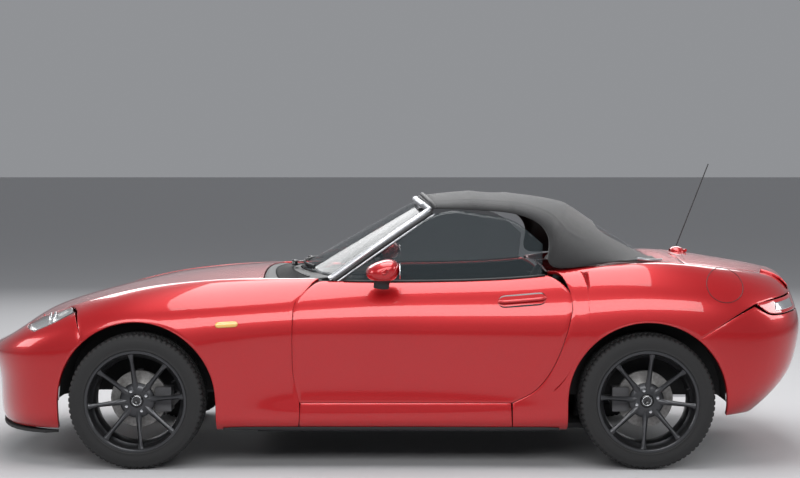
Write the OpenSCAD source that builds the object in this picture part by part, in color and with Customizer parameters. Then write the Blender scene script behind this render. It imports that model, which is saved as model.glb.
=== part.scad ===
// Two-seat soft-top roadster, nose towards -X, its left side towards -Y, standing on z = 0.
// The painted skin is one smooth surface over a hand-set net of stations, split at the real
// panel gaps. Everything that turns, seats or bolts is an exact solid.

/* [Body] */
// Distance between the axles
wheelbase = 2310; // [2080:10:2540]
// Height of the roof above the floor
roof_h = 1240; // [1180:5:1300]
// Ratio of the body's width to its design width
width_k = 1; // [0.98:0.01:1.06]
// Gap between two neighbouring skin panels
shut_gap = 6; // [4:1:9]
// Thickness of a pressed panel with its folded edge
skin_t = 8; // [5:1:11]
// Radius of the wheel arch openings
arch_r = 362; // [352:1:370]

/* [Wheels] */
// Outer radius of a tyre
tyre_r = 308; // [298:1:312]
// Width of a tyre
tyre_w = 205; // [185:5:215]
// Radius of the rim's outer lip
rim_r = 229; // [220:1:236]
// Distance between the front wheels' centre planes
track_front = 1495; // [1475:5:1505]
// Distance between the rear wheels' centre planes
track_rear = 1505; // [1485:5:1515]
// Number of slim spokes in a wheel
spokes = 8; // [5:1:10]
// Radius of a brake disc
disc_r = 129; // [115:1:135]
// Thickness of a brake disc
disc_t = 22; // [16:1:24]
// Distance of the steering axis from the middle of the car
kingpin_y = 690; // [685:1:695]

/* [Cabin] */
// Height of the floor plate's underside
floor_z = 150; // [140:1:160]
// Thickness of the floor plate
floor_t = 25; // [15:1:30]
// Distance of each seat's middle from the middle of the car
seat_y = 345; // [330:5:360]
// Width of a seat
seat_w = 430; // [380:5:450]
// Outer radius of the steering wheel's rim
hand_wheel_r = 183; // [165:1:190]
// Rake of the steering column above the horizontal
column_rake = 22; // [18:1:28]
// Thickness of the side windows and the windscreen
glass_t = 5; // [4:1:6]
// Thickness of the lined soft top
cloth_t = 14; // [10:1:18]

/* [Hidden] */
$fn = 48;
seat_gap = 0.3;                       // clearance between a piece and the piece it sits on
front_x = -1162.5 * wheelbase / 2310; // axle stations
rear_x = front_x + wheelbase;
k_x = wheelbase / 2310;               // stretches the stations with the wheelbase

// ---- the skin: stations from the nose's centre, round the side, to the tail's centre ----
col_x = [-1925, -1900, -1830, -1700, -1500, -1290, -1080, -820, -520, -180,
    180, 520, 800, 1060, 1300, 1500, 1680, 1830, 1920, 1950];
nose_w = [1, 0.95, 0.8, 0.5, 0.2, 0, 0, 0, 0, 0, 0, 0, 0, 0, 0, 0, 0, 0, 0, 0];
tail_w = [0, 0, 0, 0, 0, 0, 0, 0, 0, 0, 0, 0, 0, 0, 0.1, 0.2, 0.45, 0.75, 0.95, 1];
// rows: bottom edge, rocker, lower side, mid side, upper side, shoulder, crest, inside the crest
nose_shift = [20, 7, 3, 0, -32, -15, 50, 125];
tail_shift = [-210, -130, -40, -10, 7, -20, -50, -120];
row_y = [
    [0, 260, 500, 690, 770, 790, 795, 795, 790, 788, 788, 792, 798, 800, 800, 780, 730, 610, 380, 0],
    [0, 285, 535, 722, 800, 825, 832, 836, 836, 834, 834, 838, 844, 845, 842, 822, 768, 645, 405, 0],
    [0, 292, 550, 735, 812, 845, 850, 842, 832, 829, 830, 836, 847, 860, 862, 842, 790, 665, 420, 0],
    [0, 300, 560, 742, 818, 855, 862, 848, 828, 824, 825, 833, 848, 866, 868, 850, 800, 680, 430, 0],
    [0, 300, 560, 742, 818, 852, 860, 856, 847, 843, 843, 848, 858, 867, 868, 850, 798, 680, 430, 0],
    [0, 270, 520, 690, 765, 795, 800, 806, 812, 815, 815, 818, 826, 838, 835, 812, 755, 640, 405, 0],
    [0, 220, 440, 580, 640, 655, 660, 670, 700, 735, 745, 745, 745, 742, 730, 700, 640, 540, 340, 0],
    [0, 160, 330, 480, 560, 570, 575, 590, 630, 675, 690, 690, 680, 665, 640, 600, 540, 440, 270, 0]];
row_z = [
    [165, 165, 170, 175, 175, 175, 175, 172, 172, 172, 172, 172, 175, 180, 190, 215, 235, 245, 250, 250],
    [205, 205, 208, 215, 220, 220, 220, 215, 215, 215, 215, 215, 220, 225, 235, 260, 290, 310, 330, 330],
    [300, 300, 300, 300, 300, 300, 300, 300, 300, 300, 300, 300, 305, 310, 320, 345, 380, 405, 430, 430],
    [400, 400, 405, 415, 430, 440, 440, 440, 440, 440, 440, 440, 445, 450, 460, 480, 500, 520, 530, 530],
    [480, 482, 495, 530, 575, 600, 605, 605, 605, 605, 605, 610, 620, 640, 650, 650, 645, 640, 635, 635],
    [525, 530, 550, 600, 665, 725, 745, 750, 750, 750, 752, 758, 770, 790, 795, 790, 770, 750, 735, 735]];
// height of the bonnet, cowl and deck along the middle of the car, and along the crests
mid_top = [[-1960, 490], [-1870, 552], [-1760, 632], [-1660, 688], [-1450, 752], [-1190, 808],
    [-900, 850], [-640, 872], [-300, 885], [300, 890], [900, 930], [1310, 948], [1430, 942],
    [1600, 917], [1800, 882], [1905, 850], [1960, 800]];
crest_top = [[-1960, 470], [-1870, 535], [-1760, 600], [-1660, 655], [-1450, 732], [-1190, 800],
    [-900, 834], [-640, 848], [-300, 847], [300, 852], [680, 872], [900, 902], [1120, 917],
    [1320, 911], [1560, 880], [1756, 845], [1880, 815], [1960, 780]];
crest_y = [[-1960, 60], [-1870, 330], [-1800, 480], [-1700, 580], [-1500, 640], [-1200, 658],
    [-850, 668], [-520, 700], [-180, 735], [300, 745], [800, 745], [1150, 736], [1400, 715],
    [1600, 670], [1750, 590], [1850, 460], [1900, 340], [1960, 60]];

function seg(t, x) = let(n = len(t) - 2) [for (i = [0:n]) if (i == n || x < t[i + 1][0]) i][0];
function slope(t, i) = i <= 0 ? (t[1][1] - t[0][1]) / (t[1][0] - t[0][0])
    : i >= len(t) - 1 ? slope([t[i - 1], t[i]], 0)
    : (t[i + 1][1] - t[i - 1][1]) / (t[i + 1][0] - t[i - 1][0]);
// smooth curve through a table of [x, value] points
function curve(t, x) = let(i = seg(t, x), h = t[i + 1][0] - t[i][0], f = (x - t[i][0]) / h)
    t[i][1] * (1 + 2 * f) * (1 - f) * (1 - f) + t[i + 1][1] * f * f * (3 - 2 * f)
    + h * slope(t, i) * f * (1 - f) * (1 - f) - h * slope(t, i + 1) * f * f * (1 - f);
// height of the upper skin at a station and a distance from the middle
function top_z(x, y) = let(r = min(1.2, abs(y) / curve(crest_y, x)))
    curve(mid_top, x) + (curve(crest_top, x) - curve(mid_top, x)) * r * r;

function spot(i, j) = let(x = col_x[i] + nose_shift[j] * nose_w[i] + tail_shift[j] * tail_w[i],
    y = row_y[j][i], z = j < 6 ? row_z[j][i] : top_z(x, y)) [x, y, z];
spots = [for (i = [0:19]) [for (j = [0:7]) spot(i, j)]];
function flip(p) = [p[0], -p[1], p[2]];
function at(n, i, j) = i < 0 ? flip(n[-i][j]) : i > 19 ? flip(n[38 - i][j]) : n[i][j];
// the net is pulled out by a sixth of its second difference, so that the surface keeps the spots
net_u = [for (i = [0:19]) [for (j = [0:7])
    at(spots, i, j) * 4 / 3 - (at(spots, i - 1, j) + at(spots, i + 1, j)) / 6]];
net_v = [for (i = [0:19]) [for (j = [0:7]) j == 0 || j == 7 ? net_u[i][j]
    : net_u[i][j] * 4 / 3 - (net_u[i][j - 1] + net_u[i][j + 1]) / 6]];
function ghost_v(n, i, j) = j < 0 ? 2 * at(n, i, 0) - at(n, i, 1)
    : j > 7 ? 2 * at(n, i, 7) - at(n, i, 6) : at(n, i, j);
net = [for (i = [-1:20]) [for (j = [-1:8]) ghost_v(net_v, i, j)]];
function weights(f) = [pow(1 - f, 3), 3 * pow(f, 3) - 6 * f * f + 4,
    -3 * pow(f, 3) + 3 * f * f + 3 * f + 1, pow(f, 3)] / 6;
// point of the skin: u runs from the nose (0) to the tail (19), v from the bottom (0) up (7)
function skin(u, v) = let(i = min(floor(u), 18), j = min(floor(v), 6), a = weights(u - i),
    b = weights(v - j), p = a * [for (m = [0:3]) b * [for (n = [0:3]) net[i + m][j + n]]])
    [p[0] * k_x, p[1] * width_k, p[2]];
function inward(u, v) = let(e = 0.03,
    a = skin(min(u + e, 19), v) - skin(max(u - e, 0), v),
    b = skin(u, min(v + e, 7)) - skin(u, max(v - e, 0)), c = cross(a, b)) c / norm(c);
// u at a station x for a given v, and v at a height z for a given u, by halving
function u_at(x, v, lo = 0, hi = 19, n = 18) = n == 0 ? (lo + hi) / 2
    : let(m = (lo + hi) / 2) skin(m, v)[0] < x * k_x ? u_at(x, v, m, hi, n - 1)
    : u_at(x, v, lo, m, n - 1);
function v_at(u, z, lo = 0, hi = 7, n = 16) = n == 0 ? (lo + hi) / 2
    : let(m = (lo + hi) / 2) skin(u, m)[2] < z ? v_at(u, z, m, hi, n - 1)
    : v_at(u, z, lo, m, n - 1);
// surface parameters of a point given in side view
function place(x, z, n = 3, v = 4) = let(u = u_at(x, v), w = v_at(u, z))
    n == 0 ? [u, w] : place(x, z, n - 1, w);

// ---- grids and closed shells ----
function lerp(a, b, t) = a + (b - a) * t;
function along(pts, t) = let(n = len(pts) - 1, i = min(floor(t * n), n - 1))
    lerp(pts[i], pts[i + 1], t * n - i);
function steps(n) = [for (i = [0:n]) i / n];
// grid of parameters between four edges that meet at their corners
function patch(bottom, top, left, right, n, m) = [for (s = steps(n)) [for (t = steps(m))
    lerp(along(bottom, s), along(top, s), t) + lerp(along(left, t), along(right, t), s)
    - lerp(lerp(bottom[0], bottom[len(bottom) - 1], s), lerp(top[0], top[len(top) - 1], s), t)]];
function on_skin(grid) = [for (c = grid) [for (p = c) skin(p[0], p[1])]];
function under_skin(grid, t) = [for (c = grid) [for (p = c) skin(p[0], p[1]) + t * inward(p[0], p[1])]];
function flat(g) = [for (c = g) for (p = c) p];
function rev(l) = [for (i = [len(l) - 1:-1:0]) l[i]];
function nose_full(g) = concat([for (i = [len(g) - 1:-1:1]) [for (p = g[i]) flip(p)]], g);
function tail_full(g) = concat(g, [for (i = [len(g) - 2:-1:0]) [for (p = g[i]) flip(p)]]);

// direction in which the turned-in edge of a panel is thick: away from the axle, or up at the sill
function lip_way(p, x) = p[2] < sill_z + 20 ? [0, 0, 1]
    : let(d = [p[0] - x, 0, p[2] - arch_z]) d / norm(d);
function lip_end(c, x) = [for (p = c) p - [0, lip, 0]];
function lip_root(c, d, x, t) = [for (k = [0:len(c) - 1]) d[k] + t * lip_way(c[k], x)];
function lip_back(c, x, t) = [for (p = c) p - [0, lip, 0] + t * lip_way(p, x)];
// outer and inner grids of a panel whose last station turns in round the axle at x
function lip_last(o, d, x, t) = let(n = len(o) - 1) [concat(o, [lip_end(o[n], x)]),
    concat([for (i = [0:n - 1]) d[i]], [lip_root(o[n], d[n], x, t), lip_back(o[n], x, t)])];
function lip_first(o, d, x, t) = let(r = lip_last(rev(o), rev(d), x, t)) [rev(r[0]), rev(r[1])];
function turned_grid(g) = [for (j = [0:len(g[0]) - 1]) [for (c = g) c[j]]];
function lip_under(o, d, x, t) = let(r = lip_first(turned_grid(o), turned_grid(d), x, t))
    [turned_grid(r[0]), turned_grid(r[1])];

// closed shell between an outer and an inner grid; cells where hole() holds are left open
module shell(outer, inner, holes = []) {
    n = len(outer);
    m = len(outer[0]);
    off = n * m;
    function kept(i, j) = i >= 0 && j >= 0 && i < n - 1 && j < m - 1
        && len([for (h = holes) if (i >= h[0] && i < h[1] && j >= h[2] && j < h[3]) 1]) == 0;
    function k(i, j) = i * m + j;
    function wall(a, b) = [[b, a, a + off], [b, a + off, b + off]];
    polyhedron(concat(flat(outer), flat(inner)), [for (i = [0:n - 2]) for (j = [0:m - 2])
        if (kept(i, j)) each concat(
            [[k(i, j), k(i + 1, j), k(i + 1, j + 1)], [k(i, j), k(i + 1, j + 1), k(i, j + 1)],
            [off + k(i, j), off + k(i + 1, j + 1), off + k(i + 1, j)],
            [off + k(i, j), off + k(i, j + 1), off + k(i + 1, j + 1)]],
            kept(i, j - 1) ? [] : wall(k(i, j), k(i + 1, j)),
            kept(i + 1, j) ? [] : wall(k(i + 1, j), k(i + 1, j + 1)),
            kept(i, j + 1) ? [] : wall(k(i + 1, j + 1), k(i, j + 1)),
            kept(i - 1, j) ? [] : wall(k(i, j + 1), k(i, j)))], convexity = 10);
}
// closed tube through a list of rings, each a list of points
module rings(r) {
    n = len(r);
    m = len(r[0]);
    polyhedron(flat(r), concat([[for (j = [m - 1:-1:0]) j]], [[for (j = [0:m - 1]) (n - 1) * m + j]],
        [for (i = [0:n - 2]) for (j = [0:m - 1]) each [
            [i * m + j, i * m + (j + 1) % m, (i + 1) * m + (j + 1) % m],
            [i * m + j, (i + 1) * m + (j + 1) % m, (i + 1) * m + j]]]), convexity = 6);
}
// round bar of m sides along a path that runs mostly across the car
function ring_at(p, d, a, b, m) = let(w = d / norm(d), s = cross(w, [0, 0, 1]), h = s / norm(s),
    g = cross(h, w)) [for (i = [0:m - 1]) p + a * cos(360 * i / m) * h + b * sin(360 * i / m) * g];
module bar(path, a, b, m = 10) {
    n = len(path) - 1;
    rings([for (i = [0:n]) ring_at(path[i],
        path[min(i + 1, n)] - path[max(i - 1, 0)], a, b, m)]);
}
module both() {
    children();
    mirror([0, 1, 0]) children();
}
// box between two corners
module block(a, b) {
    translate(a) cube(b - a);
}

// ---- lines that the panels share ----
bonnet_v = 6.3;         // row of the gap between bonnet and wing
cowl_x = -600;          // rear edge of the bonnet
lamp_u = 3.15;          // bonnet corner at the headlamp
lid_x = 1350;           // front edge of the boot lid
arch_z = tyre_r;
lip = 85;               // depth of the turned-in edge round a wheel arch
door_front = [[-422, 304], [-450, 430], [-454, 560], [-452, 660], [-444, 750], [-395, 805], [-335, 848]];
door_rear = [[535, 304], [640, 362], [722, 473], [775, 610], [805, 720], [795, 800], [700, 872]];
// arch edge as side-view points, from angle a to angle b over the axle at x
function arch(x, r, a, b, n) = [for (t = steps(n)) [x / k_x + r * cos(a + (b - a) * t),
    arch_z + r * sin(a + (b - a) * t)]];
function spots_at(pts) = [for (p = pts) place(p[0], p[1])];
// moved back, and away from the door below and above its waist
function outset(pts, d) = [for (p = pts) [p[0] + d, p[1] + d * (p[1] > 700 ? 0.5 : -0.6)]];
function shifted(pts, dx, dz) = [for (p = pts) [p[0] + dx, p[1] + dz]];

// ---- outlines of the panels in surface parameters, right side ----
arch_a = arch(front_x, arch_r, 180, 132, 4);
arch_b = arch(front_x, arch_r, 132, 0, 14);
arch_c = arch(rear_x, arch_r, 180, 51, 12);
arch_d = arch(rear_x, arch_r, 50, 0, 5);
lamp_front = [2.65, 6.25];
lamp_low = [3.35, 4.85];
lamp_rear = [4.22, 5.4];
lamp_top = [3.9, 6.28];
tail_tip = [1630, 738];
lid_low = [17.9, 4.7];
lid_side = [17, 7];

function bumper_grid() = patch(
    [[0, 0], [1, 0], [2, 0], [3, 0], place(arch_a[0][0], sill_z)],
    concat([[0, bonnet_v], [0.7, bonnet_v], [1.4, bonnet_v], [2.1, bonnet_v], lamp_front,
        [3.0, 5.45], lamp_low, [3.8, 5.05], lamp_rear + [0, -0.08]],
        [place(arch_b[0][0], arch_b[0][1])]),
    [[0, 0], [0, bonnet_v]],
    concat([place(arch_a[0][0], sill_z)], spots_at(arch_a)), 18, 10);
function wing_grid() = patch(
    concat(spots_at(arch_b), [place(arch_b[14][0] + 1, sill_z)], spots_at([[-600, sill_z], [-430, sill_z]])),
    concat([lamp_top + [0.05, 0]], [for (x = [-1400:150:-350]) [u_at(x, bonnet_v), bonnet_v]],
        [[u_at(-342, bonnet_v), bonnet_v]]),
    concat([place(arch_b[0][0] + 4, arch_b[0][1] + 2)], [lamp_rear + [0.05, 0]], [lamp_top + [0.05, 0]]),
    concat(spots_at(concat([[-430, sill_z]], shifted(door_front, -shut_gap, 0))),
        [[u_at(-342, bonnet_v), bonnet_v]]), 26, 9);
function door_grid() = patch(
    spots_at([for (s = steps(6)) lerp(door_front[0], door_rear[0], s)]),
    [for (s = steps(6)) let(x = lerp(-335, 700, s)) [u_at(x, 6), 6]],
    concat([for (i = [0:5]) place(door_front[i][0], door_front[i][1])], [[u_at(-335, 6), 6]]),
    concat([for (i = [0:5]) place(door_rear[i][0], door_rear[i][1])], [[u_at(700, 6), 6]]), 14, 10);
function quarter_grid() = patch(
    concat([place(784, sill_z)], spots_at(arch_c)),
    concat([place(541, sill_z)], spots_at(outset(door_rear, shut_gap)),
        [for (x = [706:120:1760]) [u_at(x, 7), 7]], [lid_side]),
    [place(784, sill_z), place(541, sill_z)],
    concat([place(arch_c[12][0], arch_c[12][1])], spots_at([tail_tip + [0, 6], [1842, 782]]),
        [lid_side]), 34, 10);
function tail_grid() = patch(
    concat([place(arch_d[5][0] + 2, 240)], [[16.5, 0], [17.3, 0], [18.1, 0], [19, 0]]),
    concat([place(arch_d[0][0], arch_d[0][1])], spots_at([tail_tip + [4, -6], [1717, 694]]),
        [[17.2, 4.55], lid_low + [0, -0.08], [18.5, lid_low[1] - 0.08], [19, lid_low[1] - 0.08]]),
    concat([place(arch_d[5][0] + 2, 240)], rev(spots_at(arch_d))),
    [[19, 0], [19, lid_low[1] - 0.08]], 18, 8);

function sill_grid() = patch(spots_at([for (s = steps(8)) [lerp(-424, 535, s), sill_z]]),
    spots_at([for (s = steps(8)) [lerp(-418, 529, s), 304 - shut_gap]]),
    spots_at([[-424, sill_z], [-418, 304 - shut_gap]]), spots_at([[535, sill_z], [529, 304 - shut_gap]]), 12, 4);

boot_x = 1690;         // rear wall of the boot box
sill_crown = 5.2;       // rise of the skin's lower edge between its ends
sill_z = 178;          // lower edge of the skin between the axles
module ear(axis, y) translate([axis[0], y, axis[1]]) rotate([-90, 0, 0]) cylinder(r = 4, h = 15);
// leaf of a lid's hinge, beside the ear and turning with the lid
module leaf(axis, reach) {
    translate([axis[0], 485 + seat_gap, axis[1]]) rotate([-90, 0, 0]) cylinder(r = 4, h = 30);
    block([axis[0] + min(reach, 0), 486, axis[1] - 3], [axis[0] + max(reach, 0), 514, axis[1] + 3]);
}
module liner(x, y) intersection() {
    translate([x, y, arch_z]) rotate([-90, 0, 0]) difference() {
        cylinder(r = arch_r + skin_t + 6, h = 775 - y, $fn = 96);
        translate([0, 0, 4]) cylinder(r = arch_r + skin_t + 5 * seat_gap, h = 800, $fn = 96);
    }
    block([x - 400, y - 10, arch_z], [x + 400, 790, 700]);
}
module floor_pan() color("dimgray") {
    both() liner(front_x, 440);
    both() liner(rear_x, 601);
    // floor, tunnel, inner sills and the two bulkheads
    block([-600, -600, floor_z], [900, 600, floor_z + floor_t]);
    block([-600, -120, floor_z], [900, 120, 390]);
    both() block([-600, 599, floor_z], [765, 690, 290]);
    both() block([-600, 689, sill_z + skin_t + sill_crown], [765, 775, 270]);
    block([-625, -690, floor_z], [-599, 690, 800]);
    block([879, -560, floor_z], [905, 560, 780]);
    // door posts and their hinge arms
    both() block([-600, 600, 280], [-510, 690, 800]);
    both() for (z = hinge_z) hinge_arm(z);
    // side rails, the beam at the nose and the radiator support
    both() block([-1790, 360, 380], [-624, 420, 460]);
    block([-1830, -430, 370], [-1789, 430, 470]);
    both() block([-1430, 560, 640], [-624, 600, 680]);
    both() block([-1430, 419, 640], [-1390, 561, 680]);
    both() block([-1430, 380, 459], [-1390, 420, 680]);
    // boot box
    block([904, -480, 330], [boot_x, 480, 345]);
    both() block([904, 470, 330], [boot_x, 485, 790]);
    block([boot_x - 15, -485, 330], [boot_x, 485, 680]);
    both() block([-600, 300, 780], [-520, 560, 800]);
    both() block([904, 484, 775], [1500, 600, 790]);
    both() block([720, 600, 289], [765, 690, 800]);
    both() block([764, 598, 700], [910, 690, 790]);
    // ears of the bonnet and boot hinges
    both() block([-600, 470, 790], [bonnet_axis[0] + 3, 485, bonnet_axis[1]]);
    both() ear(bonnet_axis, 470);
    both() block([lid_axis[0] - 3, 470, 789], [lid_axis[0] + 3, 485, lid_axis[1]]);
    both() ear(lid_axis, 470);
}
hinge_z = [520, 620];
hinge = [-530, 819];
module hinge_arm(z) {
    block([hinge[0] - 7, 689, z - 30], [hinge[0] + 7, hinge[1], z - seat_gap]);
    translate([hinge[0], hinge[1], z - 30]) cylinder(r = 5, h = 30 - seat_gap);
}
module hinge_leaf(z) {
    translate([hinge[0], hinge[1], z]) cylinder(r = 5, h = 30);
    block([hinge[0] - 6, 745, z], [hinge[0] + 6, hinge[1], z + 30]);
    block([hinge[0] - 6, 735, z], [-398, 747, z + 30]);
}

mouth_cells = [[14, 24, 5, 9]];
function turned_back(g) = [for (c = rev(g)) rev(c)];
module front_bumper() color("crimson") {
    g = bumper_grid();
    p = lip_last(on_skin(g), under_skin(g, skin_t), front_x, skin_t);
    shell(turned_back(nose_full(p[0])), turned_back(nose_full(p[1])), mouth_cells);
}
module front_grille() color("#1a1a1a") {
    for (z = [250:35:430]) block([-1863, -400, z], [-1838, 400, z + 8]);
    both() block([-1837.7, 300, 240], [-1830.3, 330, 440]);
}
module front_lip() color("#1a1a1a") {
    pts = [for (u = [0:0.3:3.6]) let(p = skin(u, 0)) [p[0], p[1]]];
    translate([0, 0, 152]) linear_extrude(165 - 152 - seat_gap)
        polygon(concat([for (p = rev(pts)) [p[0] - 12, -p[1]]], [for (p = pts) [p[0] - 12, p[1]]],
            [for (p = rev(pts)) [p[0] + 45, p[1] * 0.97]], [for (p = pts) [p[0] + 45, -p[1] * 0.97]]));
}
module wing() {
    g = wing_grid();
    p = lip_under(on_skin(g), under_skin(g, skin_t), front_x, skin_t);
    shell(p[0], p[1]);
}
module front_wing_right() color("crimson") wing();
module front_wing_left() color("crimson") mirror([0, 1, 0]) wing();
module quarter() {
    g = quarter_grid();
    p = lip_under(on_skin(g), under_skin(g, skin_t), rear_x, skin_t);
    shell(p[0], p[1]);
}
module rear_quarter_right() color("crimson") quarter();
module rear_quarter_left() color("crimson") mirror([0, 1, 0]) quarter();
module rear_bumper() color("crimson") {
    g = tail_grid();
    p = lip_first(on_skin(g), under_skin(g, skin_t), rear_x, skin_t);
    shell(tail_full(p[0]), tail_full(p[1]));
}
module rear_diffuser() color("#1a1a1a") {
    pts = [for (u = [18.1:0.15:19]) skin(u, 0) - [0, 0, 1]];
    row = concat([for (p = pts) p], [for (i = [len(pts) - 2:-1:0]) flip(pts[i])]);
    g = [for (p = row) [[p[0] - 90, p[1] * 0.85, p[2] - 30], p]];
    shell(g, [for (c = g) [for (p = c) p - [6, 0, 10]]]);
}
module side_sills() both() {
    color("crimson") {
        g = sill_grid();
        p = lip_under(on_skin(g), under_skin(g, skin_t), rear_x, skin_t);
        shell(p[0], p[1]);
    }
    color("#1a1a1a") block([-760, 690 + seat_gap, 160], [745, 790, sill_z - seat_gap]);
}
module rear_deck() color("crimson") {
    g = [for (s = steps(4)) [for (t = [1:-0.125:-1]) deck_pt(s, t)]];
    shell(g, [for (c = g) [for (p = c) p - [0, 0, skin_t]]]);
}
function deck_pt(s, t) = let(a = hood_pt(1, t), b = lid_pt(0, t), x = lerp(a[0] + 4, b[0] - 16, s),
    y = lerp(a[1], b[1], s)) [x, y, top_z(x / k_x, y)];
function cowl_pt(s, t) = let(a = bonnet_pt(1, t) + [lid_gap, 0, -3], b = screen_pt(0, t) - [45, 0, 9])
    lerp(a, b, s);
module cowl() color("#1a1a1a") {
    g = [for (s = steps(4)) [for (t = [1:-0.125:-1]) cowl_pt(s, t)]];
    shell(g, [for (i = [0:4]) [for (p = g[i]) [p[0], p[1], i == 1 && abs(p[1]) < 590 ? 800 + seat_gap : p[2] - 8]]]);
}

// ---- doors ----
function door_inner(g) = [for (c = g) [for (p = c) [lerp(p[0], 180 * k_x, 0.08), 700 * width_k,
    p[2] < 560 ? lerp(p[2], 560, 0.08) : p[2]]]];
module door() {
    g = on_skin(door_grid());
    shell(g, door_inner(g));
}
module door_leaves() for (z = hinge_z) hinge_leaf(z);
module door_right() color("crimson") {
    door();
    door_leaves();
}
module door_left() color("crimson") mirror([0, 1, 0]) {
    door();
    door_leaves();
}
// side window: lower edge on the door, upper edge under the roof rail
glass_front = [[0, -196], [0.35, 190], [0.7, 450], [1, 688]];
glass_top = [[0, 884], [0.35, 1141], [0.7, 1140], [0.85, 1108], [1, 1010]];
function glass_y(z) = 728 - 0.52 * (z - 850);
module side_glass() color([0.5, 0.6, 0.65, 0.4]) {
    g = [for (s = steps(12)) let(x = lerp(-222, 678, s), a = [x, skin(u_at(x, 6), 6)[2] + 3.6],
        b = [curve(glass_front, s), curve(glass_top, s)])
        [for (t = steps(5)) let(q = lerp(a, b, t)) [q[0], glass_y(q[1]), q[1]]]];
    shell(g, [for (c = g) [for (p = c) p - [0, glass_t, 0]]]);
}
module door_window_right() side_glass();
module door_window_left() mirror([0, 1, 0]) side_glass();
mirror_z = 863;         // flat underside of the mirror's cap
module mirror_right() color("crimson") {
    rings([for (i = [0:8]) let(f = i / 8, y = lerp(795, 985, f), k = pow(1 - pow(abs(2 * f - 1), 3.2), 0.4) + 0.02)
        [for (j = [0:11]) [-52 + 76 * k * cos(j * 30), y, max(mirror_z, 905 + 52 * k * sin(j * 30))]]]);
    mirror_foot();
}
module mirror_foot() {
    u0 = u_at(-95, 5.4);
    u1 = u_at(-15, 5.4);
    g = [for (i = [0:4]) [for (j = [0:3]) let(u = lerp(u0, u1, i / 4), v = 5.25 + j * 0.12)
        skin(u, v) - 0.5 * inward(u, v)]];
    shell([for (c = g) [for (p = c) [p[0] - 8, p[1] + 26, mirror_z - seat_gap]]], g);
}
module mirror_left() color("crimson") mirror([0, 1, 0]) mirror_right();

// ---- bonnet and boot lid ----
function mid_line(x, t) = [x, 0, top_z(x, 0)];
function bonnet_edge(t) = skin(lamp_u + (u_at(cowl_x, bonnet_v) - lamp_u) * t, bonnet_v);
function bonnet_pt(s, t) = let(f = skin(lamp_u * abs(t), bonnet_v), e = bonnet_edge(s),
    c = lerp(skin(0, bonnet_v)[0], cowl_x * k_x - 25, s),
    k = [lerp(cowl_x * k_x - 25, bonnet_edge(1)[0], t * t), bonnet_edge(1)[1] * abs(t)],
    f0 = skin(0, bonnet_v)[0], e0 = skin(lamp_u, bonnet_v), e1 = bonnet_edge(1), a = abs(t),
    x = lerp(f[0], k[0], s) + lerp(c, e[0], a)
        - lerp(lerp(f0, e0[0], a), lerp(cowl_x * k_x - 25, e1[0], a), s),
    y = lerp(f[1], k[1], s) + a * e[1] - a * lerp(e0[1], e1[1], s),
    inset = shut_gap * (1 - 0 * s),
    z0 = top_z(x / k_x, y), ze = e[2] - top_z(e[0] / k_x, e[1]))
    [x + (1 - s) * inset, (y - a * inset) * sign(t), z0 + ze * pow(a, 6) * s];
module bonnet() color("crimson") {
    g = [for (s = steps(16)) [for (t = [1:-0.125:-1]) bonnet_pt(s, t)]];
    shell(g, [for (c = g) [for (p = c) p - [0, 0, 18]]]);
    both() leaf(bonnet_axis, -22);
}
bonnet_axis = [-592, 850];      // x and z of the bonnet's hinge
lid_axis = [1372, 906];         // and of the boot lid's
lid_gap = 28;                   // gap in which their hinges turn
function lid_pt(s, t) = let(a = abs(t), b = skin(19 - 2 * a, 7), x = lerp(lid_x * k_x, b[0], s),
    y = lerp(skin(u_at(lid_x, 7), 7)[1] * a, b[1], s) - a * shut_gap * (1 - s / 2))
    [x, y * sign(t), top_z(x / k_x, y)];
function lid_tail(s, t) = let(v = lerp(7, lid_low[1], s), u = 19 - abs(t) * lerp(2, 1.1, s),
    p = skin(u, v)) [p[0], (p[1] - 3 * abs(t)) * sign(t), p[2]];
module boot_lid() color("crimson") {
    ts = [1:-0.125:-1];
    g = concat([for (s = steps(8)) [for (t = ts) lid_pt(s, t)]],
        [for (s = [1:6]) [for (t = ts) lid_tail(s / 6, t)]]);
    n = len(g);
    shell(g, [for (i = [0:n - 1]) [for (p = g[i]) i < 9 ? p - [0, 0, 14]
        : p + [-14 * (i - 8) / 6 - 4, 0, -14 * (1 - (i - 8) / 6)]]]);
    both() leaf(lid_axis, 18);
    both() block([lid_axis[0] + 5, 486, lid_axis[1]], [lid_axis[0] + 17, 514, 919]);
}

// ---- windscreen, soft top ----
function pillar(s) = [curve([[0, -285], [0.5, -60], [1, 168]], s), curve([[0, 712], [0.5, 655],
    [1, 552]], s), curve([[0, 858], [0.5, 1015], [1, 1166]], s)];
function header(t) = let(c = sqrt(1 - t * t)) [168 - 60 * c, 552 * t, 1166 + 40 * pow(c, 0.9)];
module windscreen_frame() color("silver") {
    right = [for (s = steps(8)) pillar(s)];
    top = [for (t = [0.92, 0.78, 0.6, 0.4, 0.2, 0, -0.2, -0.4, -0.6, -0.78, -0.92]) header(t)];
    bar(concat(right, top, [for (p = rev(right)) flip(p)]), 17, 15.2);
    // feet on the door posts
    both() block([-540, 640, 800 + seat_gap], [-270, 690, 822]);
    both() block([-300, 665, 821], [-270, 695, 868]);
    both() block([-300, 694, 853], [-270, 712, 868]);
}
function screen_pt(s, t) = let(e = pillar(0.06 + 0.86 * s), a = abs(t))
    [e[0] - 190 * (1 - s * 0.75) * (1 - t * t), (e[1] - 17.4) * t, e[2] + lerp(10, 45, s) * (1 - t * t)];
module windscreen_glass() color([0.5, 0.6, 0.65, 0.4]) {
    g = [for (s = steps(8)) [for (t = [1:-0.1:-1]) screen_pt(s, t)]];
    shell(g, [for (c = g) [for (p = c) p - [-3, 0, glass_t]]]);
}
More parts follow.
